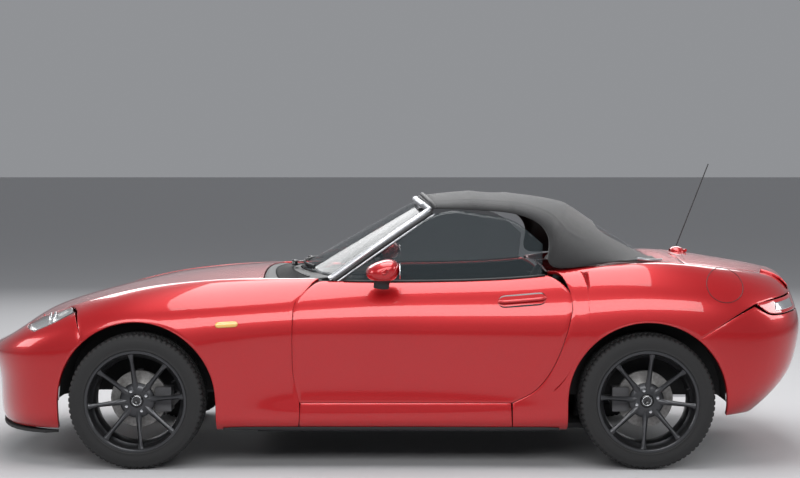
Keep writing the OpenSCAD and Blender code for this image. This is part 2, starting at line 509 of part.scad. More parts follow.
// soft top: middle line and lower edge at the same share of its length
top_mid = [[0, 124, 1225], [0.12, 341, 1246], [0.24, 487, 1243], [0.42, 708, 1226],
    [0.54, 850, 1188], [0.64, 969, 1113], [0.84, 1222, 957], [1, 1318, 915]];
top_edge = [[0, 185, 556, 1172], [0.16, 400, 572, 1164], [0.3, 560, 590, 1148], [0.4, 664, 628, 1108],
    [0.48, 710, 676, 1040], [0.56, 712, 722, 925], [0.66, 800, 724, 906], [0.84, 1000, 702, 930],
    [1, 1120, 660, 940]];
function col(t, k) = [for (p = t) [p[0], p[k]]];
function hood_pt(s, a) = let(e = [for (k = [1:3]) curve(col(top_edge, k), s)],
    m = [for (k = [1, 2]) curve(col(top_mid, k), s)], q = abs(a) * 90)
    [e[0] + (m[0] - e[0]) * cos(q), e[1] * sin(q) * sign(a),
    e[2] + (m[1] * roof_h / 1240 - e[2]) * pow(cos(q), 0.9)];
hood_rows = 20;
function hood(t) = [for (s = steps(hood_rows)) [for (a = [1:-0.125:-1]) hood_pt(s, a)
    - t * [0, 0.8 * a, 1 - 0.6 * abs(a)]]];
module soft_top() color("#202020") shell(hood(0), hood(cloth_t), [[13, 18, 5, 11]]);
module rear_window() color([0.5, 0.6, 0.65, 0.4]) {
    g = [for (i = [0:5]) [for (j = [0:6]) let(s = lerp(13.01, 17.99, i / 5) / hood_rows,
        a = lerp(0.3725, -0.3725, j / 6)) hood_pt(s, a)]];
    shell(g, [for (c = g) [for (p = c) p - [0, 0, glass_t]]]);
}

// ---- lamps ----
module headlamps() color("#c8ccd0") both() {
    g = patch([lamp_front + [0.08, -0.03], lamp_low + [0, 0.1]], [lamp_top + [-0.05, -0.05], lamp_rear + [-0.06, 0]],
        [lamp_front + [0.08, -0.03], lamp_top + [-0.05, -0.05]], [lamp_low + [0, 0.1], lamp_rear + [-0.06, 0]], 6, 6);
    shell(on_skin(g), under_skin(g, 30));
    block([-1590, 575, 640], [-1430 - seat_gap, 598, 655]);
}
module tail_lamps() color("#a01018") both() {
    a = place(1646, 738);
    b = place(1842, 774);
    c = place(1717, 706);
    d = lid_low + [-0.3, 0.02];
    g = patch([a, c, d], [place(1650, 745), b, lid_low + [-0.36, 0.7]],
        [a, place(1650, 745)], [d, lid_low + [-0.36, 0.7]], 8, 4);
    shell(on_skin(g), under_skin(g, 18));
}

// ---- inside ----
module engine() color("slategray") block([-1340, -250, 270], [-700, 250, 730]);
module seats() color("#222222") both() translate([0, seat_y - seat_w / 2, 0]) {
    rotate([90, 0, 0]) mirror([0, 0, 1]) linear_extrude(seat_w)
        polygon([[150, floor_z + floor_t + seat_gap], [180, 330], [230, 350], [560, 320], [600, 330], [760, 830],
        [790, 930], [850, 930], [860, 860], [800, 560], [700, 260], [660, floor_z + floor_t + seat_gap]]);
}
module dashboard() color("#252525") {
    rotate([90, 0, 0]) translate([0, 0, -dash_w]) linear_extrude(2 * dash_w)
        polygon([[-598.7, 640], [-598.7, 770], [-515, 772], [-400, 835], [-150, 838], [-90, 800], [-110, 700],
        [-230, 610], [-420, 560]]);
    at_hand_wheel() translate([0, 0, -150]) cylinder(r = 30, h = 130 - seat_gap);
}
dash_w = 600 - seat_gap;
module at_hand_wheel() translate([-55, -seat_y, 770]) rotate([0, 90 - column_rake, 0]) children();
module roll_hoops() color("#303030") both() {
    for (y = [seat_y - 130, seat_y + 130]) translate([870, y, floor_z + floor_t + seat_gap])
        cylinder(r = 8.5, h = 720);
    translate([870, seat_y, floor_z + floor_t + seat_gap + 720]) rotate([90, 0, 90])
        rotate_extrude(angle = 180) translate([130, 0]) circle(r = 8.5);
}
module steering_wheel() color("#1e1e1e") at_hand_wheel() {
    rotate_extrude() translate([hand_wheel_r - 15, 0]) circle(r = 15);
    cylinder(r = 50, h = 40, center = true);
    for (a = [0, 90, 180]) rotate([0, 0, a + 180]) translate([40, -12, -8])
        cube([hand_wheel_r - 50, 24, 14]);
}

// ---- running gear ----
module front_subframe() color("#3a3a3a") {
    block([-1230, -400, 180], [-1095, 400, 235]);
    both() block([-1200, 349, 180], [-1125, 660, 200]);
    both() translate([front_x, kingpin_y, 180]) cylinder(r = 14, h = 20);
    both() block([-1178, 659, 180], [-1147, kingpin_y, 200]);
    both() block([-1230, 340, 234], [-1095, 400, 380 - seat_gap]);
    both() block([-1200, 120, 234], [-1125, 240, 270 - seat_gap]);
}
module rear_subframe() color("#3a3a3a") {
    block([1080, -350, 190], [1215, 350, 240]);
    both() block([1100, 300, 239], [1195, 350, 330 - seat_gap]);
    both() block([1060, 660, 280], [1110, 690, 336]);
    both() block([1115, 349, 200], [1180, 640, 225]);
    both() translate([rear_x, 639, arch_z]) rotate([-90, 0, 0])
        cylinder(r = 48, h = track_rear / 2 - 639 - hub_back);
    both() block([1125, 625, 200], [1170, 650, 300]);
    both() caliper(rear_x, track_rear / 2, -1);
}
// caliper round the disc of a wheel whose centre plane is y; side -1 sits ahead of the axle
module caliper(x, y, side) translate([x + side * 108, 0, arch_z]) {
    block([-32, y - 82, -55], [32, y - 37.5, 55]);
    block([-32, y - 5, -55], [32, y + 12, 55]);
    block([side > 0 ? 26 : -42, y - 82, -55], [side > 0 ? 42 : -26, y + 12, 55]);
}
module knuckle() {
    y = track_front / 2;
    translate([front_x, 650, arch_z]) rotate([-90, 0, 0]) cylinder(r = 42, h = y - 650 - hub_back);
    translate([front_x, kingpin_y, 200 + seat_gap]) cylinder(r = 14, h = 240);
    caliper(front_x, y, 1);
    block([front_x, 660, 280], [front_x + 80, 685, 336]);
}
module knuckle_front_right() color("#4a4a4a") knuckle();
module knuckle_front_left() color("#4a4a4a") mirror([0, 1, 0]) knuckle();

hub_back = 32 + seat_gap; // inner face of the disc, less the running clearance
hub_face = 26;         // the hub pad stands this far outside the wheel's centre plane
module turned(x, y) translate([x, y, arch_z]) rotate([-90, 0, 0]) children();
module tyre(x, y) color("#151515") turned(x, y) rotate_extrude($fn = 72)
    polygon([[rim_r - 11, -86], [rim_r + 4, -98], [rim_r + 38, -tyre_w / 2], [tyre_r - 22, -98],
    [tyre_r - 4, -84], [tyre_r, -60], [tyre_r, 60], [tyre_r - 4, 84], [tyre_r - 22, 98],
    [rim_r + 38, tyre_w / 2], [rim_r + 4, 98], [rim_r - 11, 86]]);
module rim(x, y) color("#3b3d40") turned(x, y) {
    rotate_extrude($fn = 72) polygon([[rim_r, -95.4], [rim_r - 11.3, -86.4], [rim_r - 11.3, 86.4],
        [rim_r, 95.4], [rim_r - 3, 98], [rim_r - 10, 98], [rim_r - 22, 80], [rim_r - 24, -80],
        [rim_r - 10, -98], [rim_r - 3, -98]]);
    difference() {
        translate([0, 0, hub_face]) cylinder(r = 72, h = 40);
        for (a = [0:90:270]) rotate([0, 0, a + 45]) translate([50, 0, hub_face + 25]) cylinder(r = 11, h = 60);
        translate([0, 0, hub_face + 32]) cylinder(r = 27, h = 20);
    }
    for (i = [0:spokes - 1]) rotate([0, 0, i * 360 / spokes]) translate([65, 0, hub_face + 2])
        linear_extrude(36) polygon([[0, -16], [rim_r - 84, -9], [rim_r - 84, 9], [0, 16]]);
    // disc with its hat, bolted behind the hub
    translate([0, 0, -32]) cylinder(r = disc_r, h = disc_t);
    translate([0, 0, -11]) cylinder(r = 70, h = hub_face + 11 - seat_gap);
}
module tyre_front_left() tyre(front_x, -track_front / 2);
module tyre_front_right() tyre(front_x, track_front / 2);
module tyre_rear_left() tyre(rear_x, -track_rear / 2);
module tyre_rear_right() tyre(rear_x, track_rear / 2);
module wheel_left(x, y) mirror([0, 1, 0]) rim(x, y);
module wheel_front_left() wheel_left(front_x, track_front / 2);
module wheel_front_right() rim(front_x, track_front / 2);
module wheel_rear_left() wheel_left(rear_x, track_rear / 2);
module wheel_rear_right() rim(rear_x, track_rear / 2);
module exhaust() color("#8a8a8a") {
    block([1460, 300, 165], [1610, 560, 235]);
    block([1480, 340, 234], [1590, 460, 330 - seat_gap]);
    for (y = [430, 515]) translate([1610, y, 203]) rotate([0, 90, 0]) difference() {
        cylinder(r = 32, h = 190);
        translate([0, 0, -1]) cylinder(r = 28, h = 250);
    }
}
module aerial() color("#151515") translate([1515, 645, top_z(1515, 645) + 7]) rotate([0, 21, 0]) {
    cylinder(r = 12, h = 20);
    cylinder(r = 3, h = 520);
}

floor_pan();
front_bumper();
front_grille();
front_lip();
front_wing_left();
front_wing_right();
rear_quarter_left();
rear_quarter_right();
rear_bumper();
rear_deck();
rear_diffuser();
side_sills();
cowl();
windscreen_frame();
windscreen_glass();
soft_top();
rear_window();
headlamps();
tail_lamps();
engine();
seats();
dashboard();
roll_hoops();
front_subframe();
rear_subframe();
exhaust();
aerial();
steering_wheel();
door_left();
door_right();
door_window_left();
door_window_right();
mirror_left();
mirror_right();
bonnet();
boot_lid();
knuckle_front_left();
knuckle_front_right();
tyre_front_left();
tyre_front_right();
tyre_rear_left();
tyre_rear_right();
wheel_front_left();
wheel_front_right();
wheel_rear_left();
wheel_rear_right();
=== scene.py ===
import math

import bpy
import numpy as np
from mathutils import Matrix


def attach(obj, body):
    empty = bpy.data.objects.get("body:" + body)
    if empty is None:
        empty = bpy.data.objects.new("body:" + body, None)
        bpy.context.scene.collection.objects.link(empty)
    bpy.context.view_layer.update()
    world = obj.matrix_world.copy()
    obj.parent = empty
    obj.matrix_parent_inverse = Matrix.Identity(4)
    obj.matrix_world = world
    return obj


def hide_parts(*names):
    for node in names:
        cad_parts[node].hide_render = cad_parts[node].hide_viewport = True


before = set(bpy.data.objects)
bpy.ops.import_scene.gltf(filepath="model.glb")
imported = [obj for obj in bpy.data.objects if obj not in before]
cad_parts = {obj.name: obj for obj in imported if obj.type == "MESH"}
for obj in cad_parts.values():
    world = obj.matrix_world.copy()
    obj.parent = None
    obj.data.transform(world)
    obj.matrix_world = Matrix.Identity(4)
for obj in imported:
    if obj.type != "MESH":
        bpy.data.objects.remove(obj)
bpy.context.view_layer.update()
print("frame loaded")

# ---- arrays and meshes ----


def unit(a):
    # each vector over its own length
    return a / np.maximum(np.linalg.norm(a, axis=-1, keepdims=True), 1e-12)


def curve(table, x):
    # smooth line through [x, value] points: cubic Hermite, each slope the chord between the neighbours
    xs, ys = np.asarray(table, float).T
    slopes = np.empty(len(xs))
    slopes[1:-1] = (ys[2:] - ys[:-2]) / (xs[2:] - xs[:-2])
    slopes[0] = (ys[1] - ys[0]) / (xs[1] - xs[0])
    slopes[-1] = (ys[-1] - ys[-2]) / (xs[-1] - xs[-2])
    i = np.clip(np.searchsorted(xs, x, side="right") - 1, 0, len(xs) - 2)
    h = xs[i + 1] - xs[i]
    f = (np.asarray(x, float) - xs[i]) / h
    return (ys[i] * (1 + 2 * f) * (1 - f) ** 2 + ys[i + 1] * f * f * (3 - 2 * f)
            + h * slopes[i] * f * (1 - f) ** 2 - h * slopes[i + 1] * f * f * (1 - f))


def smoothLine(points, cells, ends=(0, 0)):
    # curve through points at equal steps of its chord length; ends is not used
    p = np.asarray(points, float)
    if len(p) == 2:
        return p[0] + (p[1] - p[0]) * np.linspace(0, 1, cells + 1)[:, None]
    run = np.concatenate([[0], np.cumsum(np.linalg.norm(np.diff(p, axis=0), axis=1))])
    at = np.linspace(0, run[-1], cells + 1)
    return np.stack([curve(np.stack([run, c], 1), at) for c in p.T], 1)


def edgeOf(*sections):
    # one edge from (points, cells) sections, each smooth, with a corner between two
    parts = [smoothLine(points, cells) for points, cells in sections]
    return np.concatenate([parts[0]] + [p[1:] for p in parts[1:]])


def patch(bottom, top, left, right):
    # Coons patch: blend of the opposite edges, less the bilinear blend of the corners
    s = np.linspace(0, 1, len(bottom))[:, None, None]
    t = np.linspace(0, 1, len(left))[None, :, None]
    across = bottom[:, None] * (1 - t) + top[:, None] * t
    along = left[None] * (1 - s) + right[None] * s
    corners = ((bottom[0] * (1 - t) + top[0] * t) * (1 - s)
               + (bottom[-1] * (1 - t) + top[-1] * t) * s)
    return across + along - corners


def gridFaces(n, m, loopI=False, loopJ=False, flip=False):
    # quads between neighbouring points of an n by m grid
    i, j = np.meshgrid(np.arange(n if loopI else n - 1), np.arange(m if loopJ else m - 1), indexing="ij")
    i, j = i.ravel(), j.ravel()
    k, l = (i + 1) % n, (j + 1) % m
    quads = np.stack([i * m + j, i * m + l, k * m + l, k * m + j], 1)
    return quads[:, ::-1] if flip else quads


def meshPiece(name, points, faces, material, smooth=True):
    # object at the origin from points and faces
    mesh = bpy.data.meshes.new(name)
    mesh.from_pydata(np.asarray(points, float).reshape(-1, 3), [], [list(map(int, f)) for f in faces])
    mesh.polygons.foreach_set("use_smooth", np.full(len(mesh.polygons), smooth))
    mesh.materials.append(material)
    mesh.update()
    piece = bpy.data.objects.new(name, mesh)
    bpy.context.scene.collection.objects.link(piece)
    return piece


def gridPiece(name, grid, material, loopI=False, loopJ=False, flip=False, caps=False, smooth=True):
    # sheet or tube over a grid; caps closes the first and last rows of a tube with one face each
    n, m = grid.shape[:2]
    faces = gridFaces(n, m, loopI, loopJ, flip).tolist()
    if caps:
        first, last = list(range(m)), list(range((n - 1) * m, n * m))
        faces += [first[::-1], last] if flip else [first, last[::-1]]
    return meshPiece(name, grid.reshape(-1, 3), faces, material, smooth)


def joined(name, pieces):
    # one object from several that share a material
    points, faces, start = [], [], 0
    for piece in pieces:
        count = len(piece.data.vertices)
        co = np.empty(count * 3, np.float32)
        piece.data.vertices.foreach_get("co", co)
        points.append(co.reshape(-1, 3))
        faces += [[v + start for v in f.vertices] for f in piece.data.polygons]
        start += count
    smooth = [f.use_smooth for piece in pieces for f in piece.data.polygons]
    out = meshPiece(name, np.concatenate(points), faces, pieces[0].data.materials[0])
    out.data.polygons.foreach_set("use_smooth", smooth)
    for piece in pieces:
        mesh = piece.data
        bpy.data.objects.remove(piece)
        bpy.data.meshes.remove(mesh)
    return out


def crease(piece, degrees=35):
    # sharp edges where two faces meet at more than this angle
    piece.data.set_sharp_from_angle(angle=math.radians(degrees))
    return piece


def solidify(piece, thickness, offset=-1.0):
    # wall of a given thickness on a sheet; offset -1 lays it inside the sheet
    wall = piece.modifiers.new("wall", "SOLIDIFY")
    wall.thickness = thickness
    wall.offset = offset
    return piece


def roundEdges(piece, width, segments=2, degrees=35):
    # bevel on edges sharper than the given angle
    edge = piece.modifiers.new("edge", "BEVEL")
    edge.width = width
    edge.segments = segments
    edge.limit_method = "ANGLE"
    edge.angle_limit = math.radians(degrees)
    return piece


def mirrored(grid):
    # the same grid on the other side of the car
    return grid * np.array([1, -1, 1])


def onSide(grid, side):
    # grid as it is for the right side (1), mirrored for the left (-1)
    return grid if side == 1 else mirrored(grid)


def latheGrid(profile, steps, centre, axisY=1.0):
    # profile of [radius, offset] turned round the Y axis through centre
    r, y = np.asarray(profile, float).T
    a = np.linspace(0, 2 * np.pi, steps, endpoint=False)[:, None]
    return np.stack([r * np.cos(a), axisY * y + 0 * a, r * np.sin(a)], -1) + np.asarray(centre, float)


def tubeGrid(path, radius, sides=12, up=(0, 0, 1), flat=1.0):
    # ring of sides round each point of a path, square to it; flat scales the ring along up
    p = np.asarray(path, float)
    way = unit(np.gradient(p, axis=0))
    side = unit(np.cross(way, np.asarray(up, float)))
    high = np.cross(side, way)
    a = np.linspace(0, 2 * np.pi, sides, endpoint=False)[None, :, None]
    r = np.broadcast_to(np.asarray(radius, float), len(p))[:, None, None]
    return p[:, None] + r * (np.cos(a) * side[:, None] + flat * np.sin(a) * high[:, None])


def tubePiece(name, path, radius, material, sides=12, up=(0, 0, 1), flat=1.0, loop=False):
    # tube along a path, closed at its ends unless it loops
    return gridPiece(name, tubeGrid(path, radius, sides, up, flat), material, loopI=loop, loopJ=True,
                     caps=not loop, flip=True)


def boxPiece(name, low, high, material, round=0.0, segments=2):
    # box between two corners, with rounded edges
    (x0, y0, z0), (x1, y1, z1) = low, high
    points = [(x, y, z) for x in (x0, x1) for y in (y0, y1) for z in (z0, z1)]
    faces = [(0, 1, 3, 2), (4, 6, 7, 5), (0, 4, 5, 1), (2, 3, 7, 6), (0, 2, 6, 4), (1, 5, 7, 3)]
    piece = meshPiece(name, points, faces, material, smooth=False)
    return roundEdges(piece, round, segments) if round else piece


def foldGrid(grid, depth, lateral=0.001, turned=None, sides="lrbt"):
    # a panel whose edges fold in: three rings outside it, round the edge and then depth inwards.
    # turned gives another direction for the fold of the edges named l, r, b or t
    turned = turned or {}
    inward = unit(np.cross(np.gradient(grid, axis=0, edge_order=2), np.gradient(grid, axis=1, edge_order=2)))
    p = np.pad(grid, ((3, 3), (3, 3), (0, 0)), mode="edge")
    n = np.pad(inward, ((3, 3), (3, 3), (0, 0)), mode="edge")
    rings = ((2, 0.6, 0.25), (1, 1.0, 1.0), (0, 1.0, depth / lateral))
    count, height = p.shape[:2]
    shift = np.zeros_like(p)
    drop = np.zeros(p.shape[:2])
    for edge, axis, back in (("l", 0, False), ("r", 0, True), ("b", 1, False), ("t", 1, True)):
        q = np.flip(p, axis) if back else p
        out = unit(q[3] - q[4]) if axis == 0 else unit(q[:, 3] - q[:, 4])
        size = count if axis == 0 else height
        for ring, side, low in rings:
            at = size - 1 - ring if back else ring
            spot = (at, slice(None)) if axis == 0 else (slice(None), at)
            if edge not in sides:
                continue
            shift[spot] += out * side * lateral
            drop[spot] = np.maximum(drop[spot], low * lateral)
            if edge in turned and ring == 0:
                shift[spot] += np.asarray(turned[edge])
                drop[spot] = lateral
    return p + shift + n * drop[..., None]

# ---- shader nodes ----


class Wire:
    # a socket that can be added, subtracted, multiplied and divided like a number
    def __init__(self, shader, socket):
        self.shader, self.socket = shader, socket

    def maths(self, operation, *others):
        return self.shader.node("ShaderNodeMath", {"operation": operation}, dict(enumerate((self,) + others)))

    def __add__(self, other):
        return self.maths("ADD", other)

    def __sub__(self, other):
        return self.maths("SUBTRACT", other)

    def __rsub__(self, other):
        return self.shader.node("ShaderNodeMath", {"operation": "SUBTRACT"}, {0: other, 1: self})

    def __mul__(self, other):
        return self.maths("MULTIPLY", other)

    def __truediv__(self, other):
        return self.maths("DIVIDE", other)

    def __pow__(self, other):
        return self.maths("POWER", other)

    __radd__, __rmul__ = __add__, __mul__


class Shader:
    # one material and its nodes
    def __init__(self, name, **finish):
        self.material = bpy.data.materials.new(name)
        self.material.use_nodes = True
        self.tree = self.material.node_tree
        self.surface = next(n for n in self.tree.nodes if n.type == "BSDF_PRINCIPLED")
        for key, value in finish.items():
            self.set(key, value)

    def set(self, key, value):
        # a constant goes on the socket itself, and a wire is linked to it
        socket = self.surface.inputs[key.replace("_", " ").title().replace("Ior", "IOR")]
        if isinstance(value, Wire):
            self.tree.links.new(value.socket, socket)
        else:
            socket.default_value = (*value, 1) if isinstance(value, tuple) and len(value) == 3 else value

    def node(self, kind, settings=None, inputs=None, output=0):
        # any node: its settings first, then the values or links of its sockets
        made = self.tree.nodes.new(kind)
        for key, value in (settings or {}).items():
            if key == "stops":
                ramp = made.color_ramp
                while len(ramp.elements) < len(value):
                    ramp.elements.new(0.5)
                for element, (position, colour) in zip(ramp.elements, value):
                    element.position, element.color = position, colour
            else:
                setattr(made, key, value)
        for key, value in (inputs or {}).items():
            if isinstance(value, Wire):
                self.tree.links.new(value.socket, made.inputs[key])
            else:
                made.inputs[key].default_value = value
        return Wire(self, made.outputs[output])

    def place(self, scale=(1, 1, 1), turn=(0, 0, 0), source="Object"):
        # coordinates on the piece, scaled
        where = self.node("ShaderNodeTexCoord", output=source)
        return self.node("ShaderNodeMapping", {}, {"Vector": where, "Scale": scale, "Rotation": turn})

    def noise(self, scale, detail=3.0, where=None, roughness=0.5):
        return self.node("ShaderNodeTexNoise", {}, {"Vector": where or self.place(), "Scale": scale,
                                                    "Detail": detail, "Roughness": roughness})

    def ramp(self, value, *stops):
        # value through (position, colour) stops
        full = [(p, c if len(c) == 4 else (*c, 1)) for p, c in stops]
        return self.node("ShaderNodeValToRGB", {"stops": full}, {"Fac": value})

    def blend(self, factor, first, second):
        # mix of two colours
        pick = lambda c: (*c, 1) if isinstance(c, tuple) and len(c) == 3 else c
        return self.node("ShaderNodeMix", {"data_type": "RGBA"},
                         {0: factor, 6: pick(first), 7: pick(second)}, 2)

    def bump(self, height, strength=0.3, distance=0.001):
        self.set("normal", self.node("ShaderNodeBump", {}, {"Height": height, "Strength": strength,
                                                            "Distance": distance}))
        return self


def redPaint():
    # metal-flake base under clear lacquer
    s = Shader("redPaint", metallic=0.45, coat_weight=1.0, coat_roughness=0.03, coat_ior=1.45)
    flake = s.noise(900.0, 1.0)
    s.set("base_color", s.ramp(flake, (0.3, (0.36, 0.0010, 0.0035)), (0.7, (0.48, 0.0018, 0.0060))))
    s.set("roughness", 0.30 + flake * 0.08)
    return s.material


def gunmetal():
    # dark metal with a light lacquer; noise varies the roughness
    s = Shader("gunmetal", metallic=0.85, coat_weight=0.3, coat_roughness=0.12)
    s.set("base_color", (0.050, 0.051, 0.055))
    s.set("roughness", 0.32 + s.noise(60.0) * 0.06)
    return s.material


def rubber():
    # sidewall rubber with a faint dusty grain
    s = Shader("rubber")
    grain = s.noise(240.0, 4.0)
    s.set("base_color", s.ramp(grain, (0.3, (0.005, 0.005, 0.0055)), (0.75, (0.012, 0.012, 0.0125))))
    s.set("roughness", 0.62 + grain * 0.2)
    return s.bump(grain, 0.25, 0.0006).material


def blackPlastic(name="blackPlastic", base=(0.012, 0.012, 0.013), rough=0.48, grainSize=700.0, depth=0.2):
    # moulded plastic with a leather grain
    s = Shader(name, base_color=base)
    cells = s.node("ShaderNodeTexVoronoi", {}, {"Vector": s.place(), "Scale": grainSize})
    s.set("roughness", rough + s.noise(30.0) * 0.08)
    return s.bump(cells, depth, 0.0004).material


def pianoBlack():
    # gloss black plastic under a thin coat
    s = Shader("glossBlack", base_color=(0.006, 0.006, 0.007), coat_weight=0.6, coat_roughness=0.05)
    s.set("roughness", 0.16 + s.noise(25.0) * 0.04)
    return s.material


def satinSilver():
    # brushed silver; noise varies tone and roughness
    s = Shader("satinSilver", metallic=0.9)
    s.set("base_color", s.ramp(s.noise(90.0), (0.3, (0.40, 0.41, 0.43)), (0.7, (0.48, 0.49, 0.51))))
    s.set("roughness", 0.34 + s.noise(14.0) * 0.06)
    return s.material


def chrome():
    # polished steel with slight variation in roughness
    s = Shader("polishedSteel", metallic=1.0)
    s.set("base_color", (0.62, 0.63, 0.65))
    s.set("roughness", 0.10 + s.noise(40.0) * 0.05)
    return s.material


def discIron():
    # turned faces: fine noise varies the roughness
    s = Shader("discIron", metallic=0.9)
    s.set("base_color", s.ramp(s.noise(70.0), (0.3, (0.16, 0.155, 0.15)), (0.7, (0.26, 0.255, 0.25))))
    s.set("roughness", 0.38 + s.noise(300.0, 2.0) * 0.12)
    return s.material


def castMetal(name="castMetal", base=(0.10, 0.10, 0.105)):
    # rough casting: noise in roughness and in the bump
    s = Shader(name, metallic=0.5)
    rough = s.noise(110.0, 5.0)
    s.set("base_color", base)
    s.set("roughness", 0.5 + rough * 0.2)
    return s.bump(rough, 0.35, 0.0008).material


def tintedGlass(name="glass", tint=(0.035, 0.045, 0.05), alpha=0.34):
    # dark see-through glass
    s = Shader(name, base_color=tint, roughness=0.02, alpha=alpha, ior=1.5)
    s.material.use_backface_culling = False
    return s.material


def clearLens():
    # clear lamp cover
    return Shader("clearLens", base_color=(0.9, 0.93, 0.95), roughness=0.03, alpha=0.14,
                  coat_weight=1.0).material


def roofCloth():
    # twill weave in the cloth's own coordinates
    s = Shader("roofCloth", sheen_weight=0.25, sheen_roughness=0.5)
    threads = s.node("ShaderNodeTexWave", {"bands_direction": "DIAGONAL"},
                     {"Vector": s.place((1, 1, 1)), "Scale": 420.0, "Distortion": 1.5, "Detail": 1.0})
    tone = s.noise(9.0, 4.0)
    s.set("base_color", s.ramp(tone, (0.3, (0.0075, 0.0078, 0.0085)), (0.75, (0.014, 0.014, 0.015))))
    s.set("roughness", 0.86 + tone * 0.1)
    return s.bump(threads, 0.35, 0.0005).material


def seatLeather(name="seatLeather", base=(0.016, 0.016, 0.017)):
    # leather: cell grain in the bump
    s = Shader(name, base_color=base)
    cells = s.node("ShaderNodeTexVoronoi", {}, {"Vector": s.place(), "Scale": 420.0})
    s.set("roughness", 0.42 + s.noise(20.0) * 0.14)
    return s.bump(cells, 0.3, 0.0005).material


def carpet():
    # pile: fine noise in the bump
    s = Shader("carpet", base_color=(0.012, 0.012, 0.013))
    pile = s.noise(1400.0, 2.0)
    s.set("roughness", 0.92 + pile * 0.06)
    return s.bump(pile, 0.6, 0.002).material


def lampRed(name="lampRed", base=(0.45, 0.008, 0.012), alpha=1.0):
    # red lens with faint level ribs
    s = Shader(name, roughness=0.08, coat_weight=1.0, alpha=alpha)
    ribs = s.node("ShaderNodeTexWave", {"bands_direction": "Z"}, {"Vector": s.place(), "Scale": 90.0})
    s.set("base_color", s.blend(ribs * 0.3, base, (base[0] * 0.4, base[1], base[2])))
    return s.material


def reflector():
    # mirrored lamp bowl
    s = Shader("reflector", metallic=1.0, base_color=(0.82, 0.83, 0.85))
    s.set("roughness", 0.10 + s.noise(200.0) * 0.08)
    return s.material


paint, rimMetal, tyreRubber, plastic, gloss = redPaint(), gunmetal(), rubber(), blackPlastic(), pianoBlack()
silver, bright, iron, cast, glass = satinSilver(), chrome(), discIron(), castMetal(), tintedGlass()
cloth, leather, pile, lens, mirrorCup = roofCloth(), seatLeather(), carpet(), clearLens(), reflector()
redLens = lampRed()
underside = blackPlastic("underside", (0.016, 0.016, 0.017), 0.75, 300.0, 0.4)
amberLens = Shader("amberLens", base_color=(0.75, 0.45, 0.12), roughness=0.12, coat_weight=0.8).material
print("materials made")

# ---- the skin: the same net of stations as the CAD, in millimetres ----
skinNet = {
    "stations": [-1925, -1900, -1830, -1700, -1500, -1290, -1080, -820, -520, -180,
                 180, 520, 800, 1060, 1300, 1500, 1680, 1830, 1920, 1950],
    "noseWeight": [1, 0.95, 0.8, 0.5, 0.2] + [0] * 15,
    "tailWeight": [0] * 14 + [0.1, 0.2, 0.45, 0.75, 0.95, 1],
    "noseShift": [20, 7, 3, 0, -32, -15, 50, 125],
    "tailShift": [-210, -130, -40, -10, 7, -20, -50, -120],
    "halfWidth": [
        [0, 260, 500, 690, 770, 790, 795, 795, 790, 788, 788, 792, 798, 800, 800, 780, 730, 610, 380, 0],
        [0, 285, 535, 722, 800, 825, 832, 836, 836, 834, 834, 838, 844, 845, 842, 822, 768, 645, 405, 0],
        [0, 292, 550, 735, 812, 845, 850, 842, 832, 829, 830, 836, 847, 860, 862, 842, 790, 665, 420, 0],
        [0, 300, 560, 742, 818, 855, 862, 848, 828, 824, 825, 833, 848, 866, 868, 850, 800, 680, 430, 0],
        [0, 300, 560, 742, 818, 852, 860, 856, 847, 843, 843, 848, 858, 867, 868, 850, 798, 680, 430, 0],
        [0, 270, 520, 690, 765, 795, 800, 806, 812, 815, 815, 818, 826, 838, 835, 812, 755, 640, 405, 0],
        [0, 220, 440, 580, 640, 655, 660, 670, 700, 735, 745, 745, 745, 742, 730, 700, 640, 540, 340, 0],
        [0, 160, 330, 480, 560, 570, 575, 590, 630, 675, 690, 690, 680, 665, 640, 600, 540, 440, 270, 0]],
    "height": [
        [165, 165, 170, 175, 175, 175, 175, 172, 172, 172, 172, 172, 175, 180, 190, 215, 235, 245, 250, 250],
        [205, 205, 208, 215, 220, 220, 220, 215, 215, 215, 215, 215, 220, 225, 235, 260, 290, 310, 330, 330],
        [300, 300, 300, 300, 300, 300, 300, 300, 300, 300, 300, 300, 305, 310, 320, 345, 380, 405, 430, 430],
        [400, 400, 405, 415, 430, 440, 440, 440, 440, 440, 440, 440, 445, 450, 460, 480, 500, 520, 530, 530],
        [480, 482, 495, 530, 575, 600, 605, 605, 605, 605, 605, 610, 620, 640, 650, 650, 645, 640, 635, 635],
        [525, 530, 550, 600, 665, 725, 745, 750, 750, 750, 752, 758, 770, 790, 795, 790, 770, 750, 735, 735]],
    "middle": [[-1960, 490], [-1870, 552], [-1760, 632], [-1660, 688], [-1450, 752], [-1190, 808],
               [-900, 850], [-640, 872], [-300, 885], [300, 890], [900, 930], [1310, 948], [1430, 942],
               [1600, 917], [1800, 882], [1905, 850], [1960, 800]],
    "crest": [[-1960, 470], [-1870, 535], [-1760, 600], [-1660, 655], [-1450, 732], [-1190, 800],
              [-900, 834], [-640, 848], [-300, 847], [300, 852], [680, 872], [900, 902], [1120, 917],
              [1320, 911], [1560, 880], [1756, 845], [1880, 815], [1960, 780]],
    "crestAt": [[-1960, 60], [-1870, 330], [-1800, 480], [-1700, 580], [-1500, 640], [-1200, 658],
                [-850, 668], [-520, 700], [-180, 735], [300, 745], [800, 745], [1150, 736], [1400, 715],
                [1600, 670], [1750, 590], [1850, 460], [1900, 340], [1960, 60]],
}


def topHeight(x, y):
    # height over the middle, changing with the square of the share of the way to the crest
    r = np.minimum(1.2, np.abs(y) / curve(skinNet["crestAt"], x))
    middle = curve(skinNet["middle"], x)
    return middle + (curve(skinNet["crest"], x) - middle) * r * r


